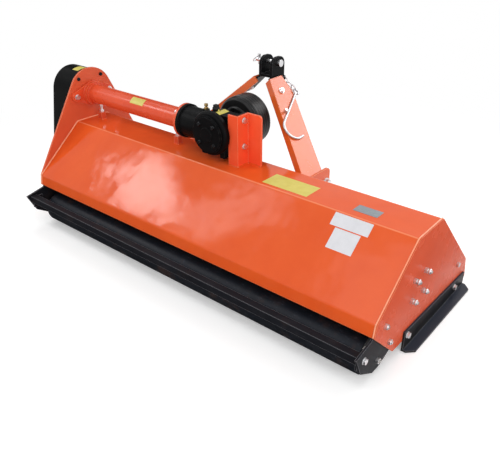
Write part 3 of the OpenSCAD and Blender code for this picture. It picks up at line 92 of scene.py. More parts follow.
white = (1, 1, 1, 1)
backdrop_light = 0.5
sky = bpy.data.worlds.new("studio_sky")
sky.use_nodes = True
bpy.context.scene.world = sky
tree = sky.node_tree
tree.nodes.clear()
ray = shader_node(tree, "LightPath").outputs
seen = math_node(tree, "MAXIMUM", ray["Is Camera Ray"], ray["Is Glossy Ray"])
seen = math_node(tree, "MAXIMUM", seen, ray["Is Transmission Ray"])
lit_sky = shader_node(tree, "Background", {"Color": white, "Strength": backdrop_light})
white_sky = shader_node(tree, "Background", {"Color": white, "Strength": 1.0})
sky_mix = shader_node(tree, "MixShader", {0: seen, 1: lit_sky.outputs[0], 2: white_sky.outputs[0]})
shader_node(tree, "OutputWorld", {"Surface": sky_mix.outputs[0]})

floor_size = 40
floor_drop = 0.0005
floor_tone = (0.86, 0.86, 0.86, 1)
floor_lift = 0.3
fade_start, fade_end = 1.3, 2.6
bpy.ops.mesh.primitive_plane_add(size=floor_size, location=(0, 0, -floor_drop))
floor = bpy.context.object
floor.name = "studio_floor"
floor_paint = bpy.data.materials.new("studio_floor")
floor_paint.use_nodes = True
tree = floor_paint.node_tree
tree.nodes.clear()
ray = shader_node(tree, "LightPath").outputs
seen = math_node(tree, "MAXIMUM", ray["Is Camera Ray"], ray["Is Glossy Ray"])
matt = shader_node(tree, "BsdfDiffuse", {"Color": floor_tone})
glow = math_node(tree, "MULTIPLY", seen, floor_lift)
lift = shader_node(tree, "Emission", {"Color": white, "Strength": glow})
floor_sum = shader_node(tree, "AddShader", {0: matt.outputs[0], 1: lift.outputs[0]})
white_paper = shader_node(tree, "Emission", {"Color": white, "Strength": 1.0})
flat = shader_node(tree, "TexCoord").outputs["Object"]
reach = shader_node(tree, "VectorMath", {0: flat}, operation="LENGTH").outputs["Value"]
fade = shader_node(tree, "MapRange", {"Value": reach, "From Min": fade_start, "From Max": fade_end},
                   interpolation_type="SMOOTHSTEP").outputs[0]
fade = math_node(tree, "MULTIPLY", fade, seen)
far = shader_node(tree, "MixShader", {0: fade, 1: floor_sum.outputs[0], 2: white_paper.outputs[0]})
shader_node(tree, "OutputMaterial", {"Surface": far.outputs[0]})
floor.data.materials.append(floor_paint)

card_tone = (0.05, 0.045, 0.04, 1)
card_roughness = 0.9
card_lift = 0.003
card_paint = bpy.data.materials.new("dark_card")
card_paint.use_nodes = True
card_paint.node_tree.nodes["Principled BSDF"].inputs["Base Color"].default_value = card_tone
card_paint.node_tree.nodes["Principled BSDF"].inputs["Roughness"].default_value = card_roughness


def dark_card(name, place, facing, width, length, shades=False):
    bpy.ops.mesh.primitive_plane_add(size=1, location=place)
    card = bpy.context.object
    card.name = name
    card.scale = (width, length, 1)
    card.rotation_euler = Vector(facing).to_track_quat("Z", "Y").to_euler()
    card.data.materials.append(card_paint)
    card.visible_camera = False
    card.visible_diffuse = shades
    card.visible_glossy = not shades
    card.visible_shadow = False


upward, downward = (0, 0, 1), (0, 0, -1)
dark_card("high_card", (-2.75, 1.75, 1.8), (2.15, -1.75, -1.31), width=2.2, length=1.9)
dark_card("right_card", (1.75, 0.45, card_lift), upward, width=1.4, length=1.9)
dark_card("rear_card", (-0.45, -1.15, card_lift), upward, width=2.8, length=1.8)
dark_card("top_flag", (-0.35, 0.6, 1.0), downward, width=1.1, length=1.2, shades=True)

# Hood: one 5 mm steel sheet, folded over the rotor, with a turned-down lip at the rear.
# Sprayed with glossy orange enamel, which pulls thin on edges; the edges' lighter tone is partly that
# thin paint and partly a painted highlight, and the folds carry a painted highlight line.
# The slight waves of the sheet show in it.


def effect(name, inputs, outputs):
    group = bpy.data.node_groups.new(name, "ShaderNodeTree")
    for socket, kind, value in inputs:
        made = group.interface.new_socket(socket, in_out="INPUT", socket_type="NodeSocket" + kind)
        if value is not None:
            made.default_value = value
    for socket, kind in outputs:
        group.interface.new_socket(socket, in_out="OUTPUT", socket_type="NodeSocket" + kind)
    return group, group.nodes.new("NodeGroupInput").outputs, group.nodes.new("NodeGroupOutput").inputs


def spread(tree, value, low, high, to_low=0.0, to_high=1.0):
    return shader_node(tree, "MapRange", {"Value": value, "From Min": low, "From Max": high,
                                          "To Min": to_low, "To Max": to_high}).outputs[0]


def noise(tree, vector, scale, detail=2.0, roughness=0.5):
    return shader_node(tree, "TexNoise", {"Vector": vector, "Scale": scale, "Detail": detail,
                                          "Roughness": roughness}).outputs[0]


def mix_colour(tree, factor, first, second):
    return shader_node(tree, "Mix", {0: factor, 6: first, 7: second}, data_type="RGBA").outputs[2]


def shaded(tone, gain, lift=0.0):
    return tuple(min(1.0, part * gain + lift) for part in tone[:3]) + (1,)


def scaled(tree, value, share):
    return math_node(tree, "MULTIPLY", value, share)


# Rounded edges: a mask along the edges, broken up where the finish is thin, and the rounded normal.
edge_start, edge_full = 0.985, 0.8
wear_share, wear_blend = 0.8, 0.12
edge_wear, given, put = effect(
    "edge_wear",
    [("Vector", "Vector", None), ("Width", "Float", 0.002), ("Breakup", "Float", 60.0),
     ("Loss", "Float", 0.5)],
    [("Mask", "Float"), ("Normal", "Vector")])
tree = edge_wear
rounded = shader_node(tree, "Bevel", {"Radius": given["Width"]}, samples=6).outputs[0]
facing = shader_node(tree, "NewGeometry").outputs["Normal"]
turn = shader_node(tree, "VectorMath", {0: rounded, 1: facing},
                   operation="DOT_PRODUCT").outputs["Value"]
edge = spread(tree, turn, edge_start, edge_full)
patches = noise(tree, given["Vector"], given["Breakup"], detail=4.0, roughness=0.65)
kept = math_node(tree, "SUBTRACT", 1.0, given["Loss"])
worn = spread(tree, patches, scaled(tree, kept, wear_share), math_node(tree, "ADD", kept, wear_blend))
tree.links.new(math_node(tree, "MULTIPLY", edge, worn), put["Mask"])
tree.links.new(rounded, put["Normal"])

# Sprayed film: fine orange peel over the slow waves of the sheet, and a faint drift of its colour.
paint_film, given, put = effect(
    "paint_film",
    [("Vector", "Vector", None), ("Peel", "Float", 420.0), ("Peel depth", "Float", 0.08),
     ("Waves", "Float", 5.0)],
    [("Height", "Float"), ("Drift", "Float")])
tree = paint_film
peel = noise(tree, given["Vector"], given["Peel"], detail=1.0)
peel = math_node(tree, "MULTIPLY", peel, given["Peel depth"])
waves = noise(tree, given["Vector"], given["Waves"], detail=2.0)
tree.links.new(math_node(tree, "ADD", peel, waves), put["Height"])
drift = noise(tree, given["Vector"], scale=7.0, detail=5.0, roughness=0.6)
tree.links.new(spread(tree, drift, low=0.3, high=0.7), put["Drift"])

# Dust: a dry haze in clouds, thickest near the ground.
dust_haze, given, put = effect(
    "dust_haze",
    [("Vector", "Vector", None), ("Reach", "Float", 0.25), ("Amount", "Float", 0.3)],
    [("Mask", "Float")])
tree = dust_haze
height = shader_node(tree, "SeparateXYZ", {0: given["Vector"]}).outputs[2]
low = math_node(tree, "SUBTRACT", 1.0, math_node(tree, "DIVIDE", height, given["Reach"]), clamp=True)
cloud = noise(tree, given["Vector"], scale=18.0, detail=6.0, roughness=0.7)
cloud = spread(tree, cloud, low=0.42, high=0.75)
haze = math_node(tree, "MULTIPLY", low, cloud)
tree.links.new(math_node(tree, "MULTIPLY", haze, given["Amount"]), put["Mask"])


def new_material(name):
    made = bpy.data.materials.new(name)
    made.use_nodes = True
    made.node_tree.nodes.clear()
    shader = shader_node(made.node_tree, "BsdfPrincipled")
    shader_node(made.node_tree, "OutputMaterial", {"Surface": shader.outputs[0]})
    coords = shader_node(made.node_tree, "TexCoord").outputs["Object"]
    return made, made.node_tree, shader, coords


def use_effect(tree, group, **values):
    made = shader_node(tree, "Group", node_tree=group)
    for name, value in values.items():
        set_or_link(tree, value, made.inputs[name.replace("_", " ")])
    return made.outputs


def wire(tree, value, shader, socket):
    tree.links.new(value, shader.inputs[socket])


def bumped(tree, height, normal, strength, depth):
    values = {"Strength": strength, "Distance": depth, "Height": height, "Normal": normal}
    return shader_node(tree, "Bump", values).outputs[0]


def sheen(tree, clouds, gloss, dulling):
    return spread(tree, clouds, low=0, high=1, to_low=gloss, to_high=gloss * dulling)


orange_dust = (0.42, 0.2, 0.12, 1)
# Width, core and strength of the painted highlight line along the hood's folds.
fold_highlight_edge, fold_highlight_core, fold_highlight_share = 0.0046, 0.002, 0.45


def orange_enamel(name, bright, deep, edge_thin_and_highlight_tone, gloss, waves, wave_depth,
                  edge_width=0.0025, shine=0.22, highlight_folds=(), peel=0.08):
    made, tree, shader, coords = new_material(name)
    shader.inputs["Specular IOR Level"].default_value = shine
    film = use_effect(tree, paint_film, Vector=coords, Waves=waves, Peel_depth=peel)
    edges = use_effect(tree, edge_wear, Vector=coords, Width=edge_width, Breakup=45.0, Loss=0.85)
    dust = use_effect(tree, dust_haze, Vector=coords, Reach=0.3, Amount=0.22)
    tone = mix_colour(tree, film["Drift"], deep, bright)
    # Edges take a lighter tone: partly thin paint, partly a painted highlight.
    thin_and_highlight = scaled(tree, edges["Mask"], share=0.75)
    # Painted highlight: a lighter line along each fold given.
    for fold_y, fold_z in highlight_folds:
        section = {0: coords, 1: (0, 1, 1)}
        flat = shader_node(tree, "VectorMath", section, operation="MULTIPLY").outputs[0]
        fold = {0: flat, 1: (0, fold_y, fold_z)}
        away = shader_node(tree, "VectorMath", fold, operation="DISTANCE").outputs["Value"]
        fold_highlight = spread(tree, away, low=fold_highlight_edge, high=fold_highlight_core, to_high=fold_highlight_share)
        thin_and_highlight = math_node(tree, "MAXIMUM", thin_and_highlight, fold_highlight)
    tone = mix_colour(tree, thin_and_highlight, tone, edge_thin_and_highlight_tone)
    tone = mix_colour(tree, dust["Mask"], tone, orange_dust)
    wire(tree, tone, shader, "Base Color")
    rough = math_node(tree, "ADD", sheen(tree, film["Drift"], gloss, dulling=1.5),
                      scaled(tree, dust["Mask"], share=0.5))
    wire(tree, rough, shader, "Roughness")
    normal = bumped(tree, film["Height"], edges["Normal"], strength=0.35, depth=wave_depth)
    wire(tree, normal, shader, "Normal")
    return made


def dress(material, *names):
    for name in names:
        for slot in nodes[name].material_slots:
            slot.material = material


hood_top = 0.444
hood_folds = ((-0.102, hood_top), (0.077, hood_top))
sheet_enamel = orange_enamel("sheet_enamel", bright=(0.78, 0.108, 0.02, 1), deep=(0.73, 0.09, 0.016, 1),
                             edge_thin_and_highlight_tone=(0.95, 0.38, 0.2, 1), gloss=0.04, waves=6.0, wave_depth=0.013,
                             edge_width=0.003, highlight_folds=hood_folds, peel=0.03)
dress(sheet_enamel, "hood")

# Side plates: 8 mm steel, flame-cut and welded to the ends of the hood.
# The left one rises in a round head that carries the drive shaft.
# A darker copy of the orange: painted shade on the right plate's side face; the adjuster posts wear it
# too.
shaded_plate_enamel = orange_enamel("shaded_plate_enamel", bright=(0.68, 0.1, 0.04, 1), deep=(0.62, 0.082, 0.032, 1),
                             edge_thin_and_highlight_tone=(0.95, 0.42, 0.22, 1), gloss=0.2, waves=3.0, wave_depth=0.003,
                             edge_width=0.0034, shine=0.06)
dress(shaded_plate_enamel, "right_side_plate")
head_enamel = orange_enamel("head_enamel", bright=(0.74, 0.125, 0.05, 1), deep=(0.68, 0.105, 0.042, 1),
                            edge_thin_and_highlight_tone=(0.95, 0.42, 0.22, 1), gloss=0.18, waves=3.0, wave_depth=0.003,
                            edge_width=0.0034, shine=0.2)
dress(head_enamel, "left_side_plate")

# Skids, roller brackets and tie bar: black painted bar and plate, bolted on.
# The paint is scuffed along the bars, with bare and rusty spots where it rubs on the ground.
scuff_marks, given, put = effect(
    "scuff_marks",
    [("Vector", "Vector", None), ("Length", "Vector", (3.0, 40.0, 40.0)), ("Amount", "Float", 0.4)],
    [("Mask", "Float"), ("Patches", "Float")])
tree = scuff_marks
drawn = shader_node(tree, "Mapping", {"Vector": given["Vector"], "Scale": given["Length"]}).outputs[0]
lines = noise(tree, drawn, scale=4.0, detail=6.0, roughness=0.7)
lines = spread(tree, lines, low=0.56, high=0.7)
areas = noise(tree, given["Vector"], scale=9.0, detail=3.0, roughness=0.6)
scuffed = math_node(tree, "MULTIPLY", lines, spread(tree, areas, low=0.4, high=0.62))
tree.links.new(math_node(tree, "MULTIPLY", scuffed, given["Amount"]), put["Mask"])
tree.links.new(areas, put["Patches"])

rust_tone = (0.14, 0.05, 0.02, 1)
bare_edge_and_highlight = (0.2, 0.2, 0.215, 1)
grey_dust = (0.2, 0.17, 0.14, 1)


def black_enamel(name, tone, gloss, scuff, rust, streak=(3.0, 40.0, 40.0), shine=0.05,
                 edge_width=0.0025, edge_share=0.5, upward_sheen_tone=None):
    made, tree, shader, coords = new_material(name)
    shader.inputs["Specular IOR Level"].default_value = shine
    film = use_effect(tree, paint_film, Vector=coords, Peel=300.0, Peel_depth=0.15, Waves=9.0)
    edges = use_effect(tree, edge_wear, Vector=coords, Width=edge_width, Breakup=70.0, Loss=0.72)
    marks = use_effect(tree, scuff_marks, Vector=coords, Length=streak, Amount=scuff)
    dust = use_effect(tree, dust_haze, Vector=coords, Reach=0.2, Amount=0.09)
    paint = mix_colour(tree, film["Drift"], tone, shaded(tone, gain=1.5))
    paint = mix_colour(tree, marks["Mask"], paint, shaded(tone, gain=4.5, lift=0.012))
    rusty = spread(tree, marks["Patches"], low=0.55, high=0.68)
    rusty = math_node(tree, "MULTIPLY", rusty, rust, clamp=True)
    paint = mix_colour(tree, rusty, paint, rust_tone)
    # Edges and inner corners go grey: worn bare paint, and where the share is high a painted highlight
    # line.
    paint = mix_colour(tree, scaled(tree, edges["Mask"], edge_share), paint, bare_edge_and_highlight)
    paint = mix_colour(tree, dust["Mask"], paint, grey_dust)
    # Painted sheen: faces that look up take a lighter blue-grey, as the sky lights them.
    if upward_sheen_tone:
        facing = shader_node(tree, "TexCoord").outputs["Normal"]
        rise = shader_node(tree, "SeparateXYZ", {0: facing}).outputs[2]
        upward_sheen = spread(tree, rise, low=0.6, high=0.95)
        paint = mix_colour(tree, scaled(tree, upward_sheen, share=0.7), paint, upward_sheen_tone)
    wire(tree, paint, shader, "Base Color")
    rubbed = math_node(tree, "MAXIMUM", marks["Mask"], rusty)
    rough = math_node(tree, "ADD", sheen(tree, film["Drift"], gloss, dulling=1.35),
                      scaled(tree, rubbed, share=0.3))
    wire(tree, rough, shader, "Roughness")
    normal = bumped(tree, film["Height"], edges["Normal"], strength=0.4, depth=0.0015)
    wire(tree, normal, shader, "Normal")
    return made


# A strong edge share paints a highlight line along the edges and inner corners of bars and skids.
bar_enamel = black_enamel("bar_enamel", (0.009, 0.0095, 0.0125, 1), gloss=0.34, scuff=0.4, rust=0.06,
                          edge_width=0.0045, edge_share=0.9)
dress(bar_enamel, "rear_tie_bar", "roller_bracket_right", "roller_bracket_left")
# The skids' upward faces take a painted blue-grey sheen.
skid_enamel = black_enamel("skid_enamel", (0.0045, 0.005, 0.0065, 1), gloss=0.3, scuff=0.12, rust=0.02,
                           streak=(30.0, 4.0, 30.0), shine=0.08, edge_width=0.0045, edge_share=0.9,
                           upward_sheen_tone=(0.034, 0.039, 0.058, 1))
dress(skid_enamel, "skid_right", "skid_left")

# Rear roller: a steel tube with closed ends, painted black, on bearings inside it.
# Its paint is dull and scuffed round the tube, and rust shows through in patches.
roller_enamel = black_enamel("roller_enamel", (0.0095, 0.0115, 0.0165, 1), gloss=0.36, scuff=1.0,
                             rust=0.18, streak=(14.0, 30.0, 30.0), shine=0.13)
dress(roller_enamel, "rear_roller")
cloud_scale = 0.2
cloud_dulling = 1.4


def metal(name, tone, shade, polish, grain, grain_depth, lines=(1.0, 1.0, 1.0)):
    made, tree, shader, coords = new_material(name)
    edges = use_effect(tree, edge_wear, Vector=coords, Width=0.0008, Breakup=120.0, Loss=0.6)
    drawn = shader_node(tree, "Mapping", {"Vector": coords, "Scale": lines}).outputs[0]
    clouds = noise(tree, drawn, scale=grain * cloud_scale, detail=4.0, roughness=0.6)
    clouds = spread(tree, clouds, low=0.3, high=0.7)
    surface = mix_colour(tree, clouds, shade, tone)
    rim = scaled(tree, edges["Mask"], share=0.5)
    surface = mix_colour(tree, rim, surface, shaded(tone, gain=1.25))
    wire(tree, surface, shader, "Base Color")
    shader.inputs["Metallic"].default_value = 1.0
    rough = spread(tree, clouds, low=0, high=1, to_low=polish * cloud_dulling, to_high=polish)
    wire(tree, rough, shader, "Roughness")
    fine = noise(tree, drawn, grain, detail=3.0)
    normal = bumped(tree, fine, edges["Normal"], strength=0.3, depth=grain_depth)
    wire(tree, normal, shader, "Normal")
    return made


zinc_plate = metal("zinc_plate", (0.86, 0.86, 0.87, 1), (0.62, 0.62, 0.64, 1),
                   polish=0.26, grain=260.0, grain_depth=0.0004)
ground_steel = metal("ground_steel", (0.58, 0.57, 0.55, 1), (0.4, 0.39, 0.37, 1),
                     polish=0.3, grain=320.0, grain_depth=0.0003, lines=(8.0, 1.0, 1.0))
dress(ground_steel, "roller_axles", "roller_bearings")

# Rotor: a steel tube with welded lugs, turned stubs and square flange units.
# The hammers are forged and swing on bolts between the lugs.
rotor_enamel = black_enamel("rotor_enamel", (0.014, 0.014, 0.015, 1), gloss=0.4, scuff=0.4, rust=0.15)
dress(rotor_enamel, "rotor_tube")
dress(ground_steel, "rotor_stubs")
cast_shine = 0.045
cast_edge = (0.12, 0.12, 0.125, 1)


def casting(name, tone, gloss, grain, depth):
    made, tree, shader, coords = new_material(name)
    shader.inputs["Specular IOR Level"].default_value = cast_shine
    edges = use_effect(tree, edge_wear, Vector=coords, Width=0.003, Breakup=60.0, Loss=0.45)
    film = use_effect(tree, paint_film, Vector=coords, Peel=grain, Peel_depth=1.0, Waves=22.0)
    paint = mix_colour(tree, film["Drift"], tone, shaded(tone, gain=1.7))
    paint = mix_colour(tree, scaled(tree, edges["Mask"], share=0.35), paint, cast_edge)
    wire(tree, paint, shader, "Base Color")
    wire(tree, sheen(tree, film["Drift"], gloss, dulling=1.3), shader, "Roughness")
    normal = bumped(tree, film["Height"], edges["Normal"], strength=0.45, depth=depth)
    wire(tree, normal, shader, "Normal")
    return made


sand_casting = casting("sand_casting", (0.0032, 0.0033, 0.0036, 1),
                       gloss=0.34, grain=260.0, depth=0.0012)
dress(sand_casting, "rotor_bearing_right", "rotor_bearing_left")
forged_steel = metal("forged_steel", (0.2, 0.19, 0.18, 1), (0.11, 0.1, 0.095, 1),
                     polish=0.5, grain=150.0, grain_depth=0.0012)
dress(forged_steel, "hammer_row_1", "hammer_row_2", "hammer_row_3", "hammer_row_4")
dress(zinc_plate, "hammer_bolts", "side_bolts")

# Front flaps: short strips of reinforced rubber on a rod across the mouth, which stop stones.
# They hang free, one beside the other, and swing on the zinc-plated rod.
rubber_shine = 0.16
ring_depth = 0.0012


def rubber(name, tone, gloss, grain, depth, rings=0.0):
    made, tree, shader, coords = new_material(name)
    shader.inputs["Specular IOR Level"].default_value = rubber_shine
    fine = noise(tree, coords, grain, detail=5.0, roughness=0.65)
    bloom = noise(tree, coords, scale=14.0, detail=5.0, roughness=0.6)
    bloom = spread(tree, bloom, low=0.35, high=0.75)
    bloomed = shaded(tone, gain=2.0, lift=0.002)
    wire(tree, mix_colour(tree, bloom, tone, bloomed), shader, "Base Color")
    wire(tree, sheen(tree, bloom, gloss, dulling=1.25), shader, "Roughness")
    normal = use_effect(tree, edge_wear, Vector=coords, Width=0.002)["Normal"]
    normal = bumped(tree, fine, normal, strength=0.5, depth=depth)
    if rings:
        along = shader_node(tree, "SeparateXYZ", {0: coords}).outputs[1]
        wave = math_node(tree, "SINE", scaled(tree, along, math.tau * rings))
        wave = spread(tree, wave, low=0.5, high=0.9)
        normal = bumped(tree, wave, normal, strength=0.6, depth=ring_depth)
    wire(tree, normal, shader, "Normal")
    return made


flap_rubber = rubber("flap_rubber", (0.012, 0.012, 0.012, 1), gloss=0.55, grain=300.0, depth=0.0004)
dress(flap_rubber, "front_flaps")
dress(zinc_plate, "front_flap_rod")

# Drive tube: orange enamelled tube with an oval flange at the belts and a round one at the gearbox.
# The shaft, coupling and bearing inside it are bare or greased steel.
tube_enamel = orange_enamel("tube_enamel", bright=(0.76, 0.092, 0.03, 1), deep=(0.7, 0.072, 0.024, 1),
                            edge_thin_and_highlight_tone=(0.92, 0.36, 0.15, 1), gloss=0.22, waves=7.0, wave_depth=0.0006,
                            shine=0.3)
dress(tube_enamel, "drive_tube")
dress(ground_steel, "tube_bearing", "drive_shaft", "shaft_coupling")

# Belt drive: cast pulleys, four rubber V-belts and a deep pressed cover over them.
# The cover is satin black, and its screws are black too.
dress(sand_casting, "upper_pulley", "lower_pulley")
belt_rubber = rubber("belt_rubber", (0.018, 0.018, 0.018, 1), gloss=0.6, grain=400.0, depth=0.0004)
dress(belt_rubber, "drive_belts")
guard_enamel = black_enamel("guard_enamel", (0.0026, 0.0027, 0.003, 1),
                            gloss=0.3, scuff=0.12, rust=0.0, shine=0.03)
dress(guard_enamel, "belt_guard")
screw_black = casting("screw_black", (0.012, 0.012, 0.013, 1), gloss=0.3, grain=500.0, depth=0.0002)
dress(screw_black, "guard_bolts")

# Gearbox: a cast iron bevel box in satin black, with its rear cover, screws, plug and breather.
# Inside are the input shaft, crown wheel, pinion and ball bearings, all of steel.
dress(sand_casting, "gearbox_housing", "gearbox_rear_cover")
burnished_steel = metal("burnished_steel", (0.09, 0.09, 0.095, 1), (0.05, 0.05, 0.055, 1),
                        polish=0.2, grain=400.0, grain_depth=0.0002)
dress(burnished_steel, "gearbox_screws")
plug_black = casting("plug_black", (0.02, 0.02, 0.02, 1), gloss=0.4, grain=200.0, depth=0.0005)
dress(plug_black, "filler_plug")
breather_brass = metal("breather_brass", (0.68, 0.47, 0.2, 1), (0.5, 0.33, 0.13, 1),
                       polish=0.3, grain=240.0, grain_depth=0.0003)
dress(breather_brass, "breather")
dress(ground_steel, "input_shaft", "crown_gear", "pinion_shaft", "gearbox_bearings")

# Gearbox bracket, posts and set screws: a folded section and two posts welded to the hood.
# The screws bear on the drive tube from below, so that the belts can be drawn tight.
# A brighter copy of the orange: painted light that lifts the bracket faces lying in the gearbox's
# shade.
lit_bracket_enamel = orange_enamel("lit_bracket_enamel", bright=(0.95, 0.115, 0.04, 1),
                               deep=(0.88, 0.095, 0.032, 1), edge_thin_and_highlight_tone=(0.95, 0.38, 0.2, 1),
                               gloss=0.12, waves=5.0, wave_depth=0.004, edge_width=0.004, shine=0.15)
dress(lit_bracket_enamel, "gearbox_bracket")
dress(shaded_plate_enamel, "adjuster_posts")
dress(zinc_plate, "adjuster_screws", "frame_bolts")

# Input shield: a moulded black bell round the splined shaft, screwed to the gearbox neck.
# Its side has the fine rings of the mould.
shield_plastic = rubber("shield_plastic", (0.005, 0.005, 0.0054, 1),
                        gloss=0.3, grain=700.0, depth=0.0002, rings=70.0)
dress(shield_plastic, "pto_shield")

# Hitch: lower plates and mast legs in orange, the clevis in black.
# The legs are flat bars, welded at the foot and bolted to the wings of the clevis.
# Pins and chain are zinc-plated, the hook and the snap ring bright wire.
leg_enamel = orange_enamel("leg_enamel", bright=(0.8, 0.14, 0.022, 1), deep=(0.74, 0.112, 0.018, 1),
                           edge_thin_and_highlight_tone=(0.94, 0.38, 0.17, 1), gloss=0.2, waves=6.0, wave_depth=0.002,
                           edge_width=0.0035, shine=0.45)
dress(leg_enamel, "mast_leg_right", "mast_leg_left", "lower_hitch_right", "lower_hitch_left")
clevis_enamel = black_enamel("clevis_enamel", (0.005, 0.0053, 0.006, 1),
                             gloss=0.3, scuff=0.15, rust=0.0)
dress(clevis_enamel, "top_clevis")
dress(zinc_plate, "lower_link_pins", "top_link_pin", "top_linchpin", "hook_chain", "hook_peg")
bright_wire = metal("bright_wire", (0.62, 0.62, 0.64, 1), (0.42, 0.42, 0.44, 1),
                    polish=0.34, grain=260.0, grain_depth=0.0003)
dress(bright_wire, "linchpin_ring", "pto_hook")

# Weld beads: the seams of hood, plates, bracket, posts, tube and hitch, run by hand and painted over.
# Each is a ripple of overlapping puddles along the corner that it fills.
bead_radius = 0.0042
bead_sides = 8
ripple = 0.0055
ripple_sink = 0.8
smooth_angle = math.radians(50)


def pick_points(piece, wanted):
    bpy.ops.object.mode_set(mode="EDIT")
    bpy.ops.mesh.select_mode(type="VERT")
    bpy.ops.mesh.select_all(action="DESELECT")
    bpy.ops.object.mode_set(mode="OBJECT")
    for point in piece.data.vertices:
        point.select = wanted(point.co)
    bpy.ops.object.mode_set(mode="EDIT")


def put_along(piece, axis, place):
    piece.rotation_mode = "QUATERNION"
    piece.rotation_quaternion = Vector(axis).to_track_quat("Z", "Y")
    piece.location = place
    bpy.ops.object.transform_apply(location=True, rotation=True, scale=True)
    return piece


def straight_bead(start, end, radius=bead_radius, step=ripple):
    run = Vector(end) - Vector(start)
    rings = max(4, 2 * round(run.length / step))
    bpy.ops.object.select_all(action="DESELECT")
    bpy.ops.mesh.primitive_cylinder_add(vertices=bead_sides, radius=radius, depth=run.length)
    bead = bpy.context.object
    bpy.ops.object.mode_set(mode="EDIT")
    bpy.ops.mesh.select_mode(type="EDGE")
    bpy.ops.mesh.select_all(action="DESELECT")
    bpy.ops.object.mode_set(mode="OBJECT")
    for side in bead.data.edges:
        a, b = (bead.data.vertices[i].co for i in side.vertices)
        side.select = abs(a.z - b.z) > run.length / 2
    bpy.ops.object.mode_set(mode="EDIT")
    bpy.ops.mesh.subdivide(number_cuts=rings - 1)
    pick_points(bead, lambda co: round((co.z / run.length + 0.5) * rings) % 2 == 0)
    bpy.ops.transform.resize(value=(ripple_sink, ripple_sink, 1))
    bpy.ops.object.mode_set(mode="OBJECT")
    return put_along(bead, run, (Vector(start) + Vector(end)) / 2)


def bead_chain(points, radius=bead_radius):
    return [straight_bead(a, b, radius) for a, b in zip(points, points[1:])]


def ring_bead(centre, axis, ring, radius=bead_radius):
    puddles = 2 * round(math.pi * ring / ripple)
    bpy.ops.object.select_all(action="DESELECT")
    bpy.ops.mesh.primitive_torus_add(major_radius=ring, minor_radius=radius, major_segments=puddles,
                                     minor_segments=bead_sides)
    bead = bpy.context.object
    pick_points(bead, lambda co: round(math.atan2(co.y, co.x) / math.tau * puddles) % 2 == 0)
    bpy.ops.transform.shrink_fatten(value=-radius * (1 - ripple_sink))
    bpy.ops.object.mode_set(mode="OBJECT")
    return put_along(bead, axis, centre)


def joined(name, pieces, material, body):
    bpy.ops.object.select_all(action="DESELECT")
    for piece in pieces:
        piece.select_set(True)
    bpy.context.view_layer.objects.active = pieces[0]
    if len(pieces) > 1:
        bpy.ops.object.join()
    whole = bpy.context.object
    whole.name = name
    whole.data.materials.clear()
    whole.data.materials.append(material)
    bpy.ops.object.shade_smooth_by_angle(angle=smooth_angle)
    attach(whole, body)


left_seam, right_seam = -0.842, 0.9435
right_bead = 0.0027
hood_line = [(-0.351, 0.197), (-0.343, 0.242), *hood_folds, (0.412, 0.123)]
# The seam beads wear a lighter orange: a painted highlight along each seam.
seam_highlight_enamel = orange_enamel("seam_highlight_enamel", bright=(0.95, 0.42, 0.25, 1), deep=(0.9, 0.32, 0.17, 1),
                            edge_thin_and_highlight_tone=(0.95, 0.42, 0.22, 1), gloss=0.2, waves=30.0, wave_depth=0.001)
joined("right_seam_welds", bead_chain([(right_seam, *point) for point in hood_line], right_bead),
       seam_highlight_enamel, "deck")
joined("left_seam_welds", bead_chain([(left_seam, *point) for point in hood_line]),
       seam_highlight_enamel, "deck")

hitch_faces = (0.3055, 0.3155, 0.3675, 0.3775)
hitch_run = ((0.107, 0.4155), (0.261, 0.2675))
leg_foot = 0.3675
leg_run = ((0.12, 0.409), (0.212, 0.409))
hitch_beads = []
for places, run in ((hitch_faces, hitch_run), ((leg_foot,), leg_run)):
    for side in (-1, 1):
        for x in places:
            hitch_beads.append(straight_bead((side * x, *run[0]), (side * x, *run[1])))
joined("hitch_welds", hitch_beads, leg_enamel, "deck")

bracket_line = [(0.08, -0.039), (0.13, -0.039), (0.13, 0.025), (0.197, 0.025)]
joined("bracket_welds", bead_chain([(*point, hood_top) for point in bracket_line]),
       sheet_enamel, "deck")

post_places = (-0.78, -0.25)
post_half = 0.013
post_bead = 0.0032
post_corners = [(-1, -1), (1, -1), (1, 1), (-1, 1), (-1, -1)]
post_beads = []
for post in post_places:
    foot = [(post + x * post_half, y * post_half, hood_top) for x, y in post_corners]
    post_beads += bead_chain(foot, post_bead)
joined("post_welds", post_beads, sheet_enamel, "deck")

drive_axis = 0.564
across = (1, 0, 0)
tube_seams = ((-0.81, 0.0445), (-0.2, 0.0445), (-0.826, 0.056))
joined("tube_welds", [ring_bead((x, 0, drive_axis), across, ring) for x, ring in tube_seams],
       tube_enamel, "deck")

# Plates and stickers: thin bare vinyl and one bare aluminium plate, where a maker puts notices.
# Pressed on by hand, so they follow the sheet under them.
label_gap = 0.0002
label_start = 0.02
film_thickness = 0.0003
plate_thickness = 0.0008


def on_surface(node, place, towards):
    return nodes[node].ray_cast(Vector(place), Vector(towards).normalized())[1]


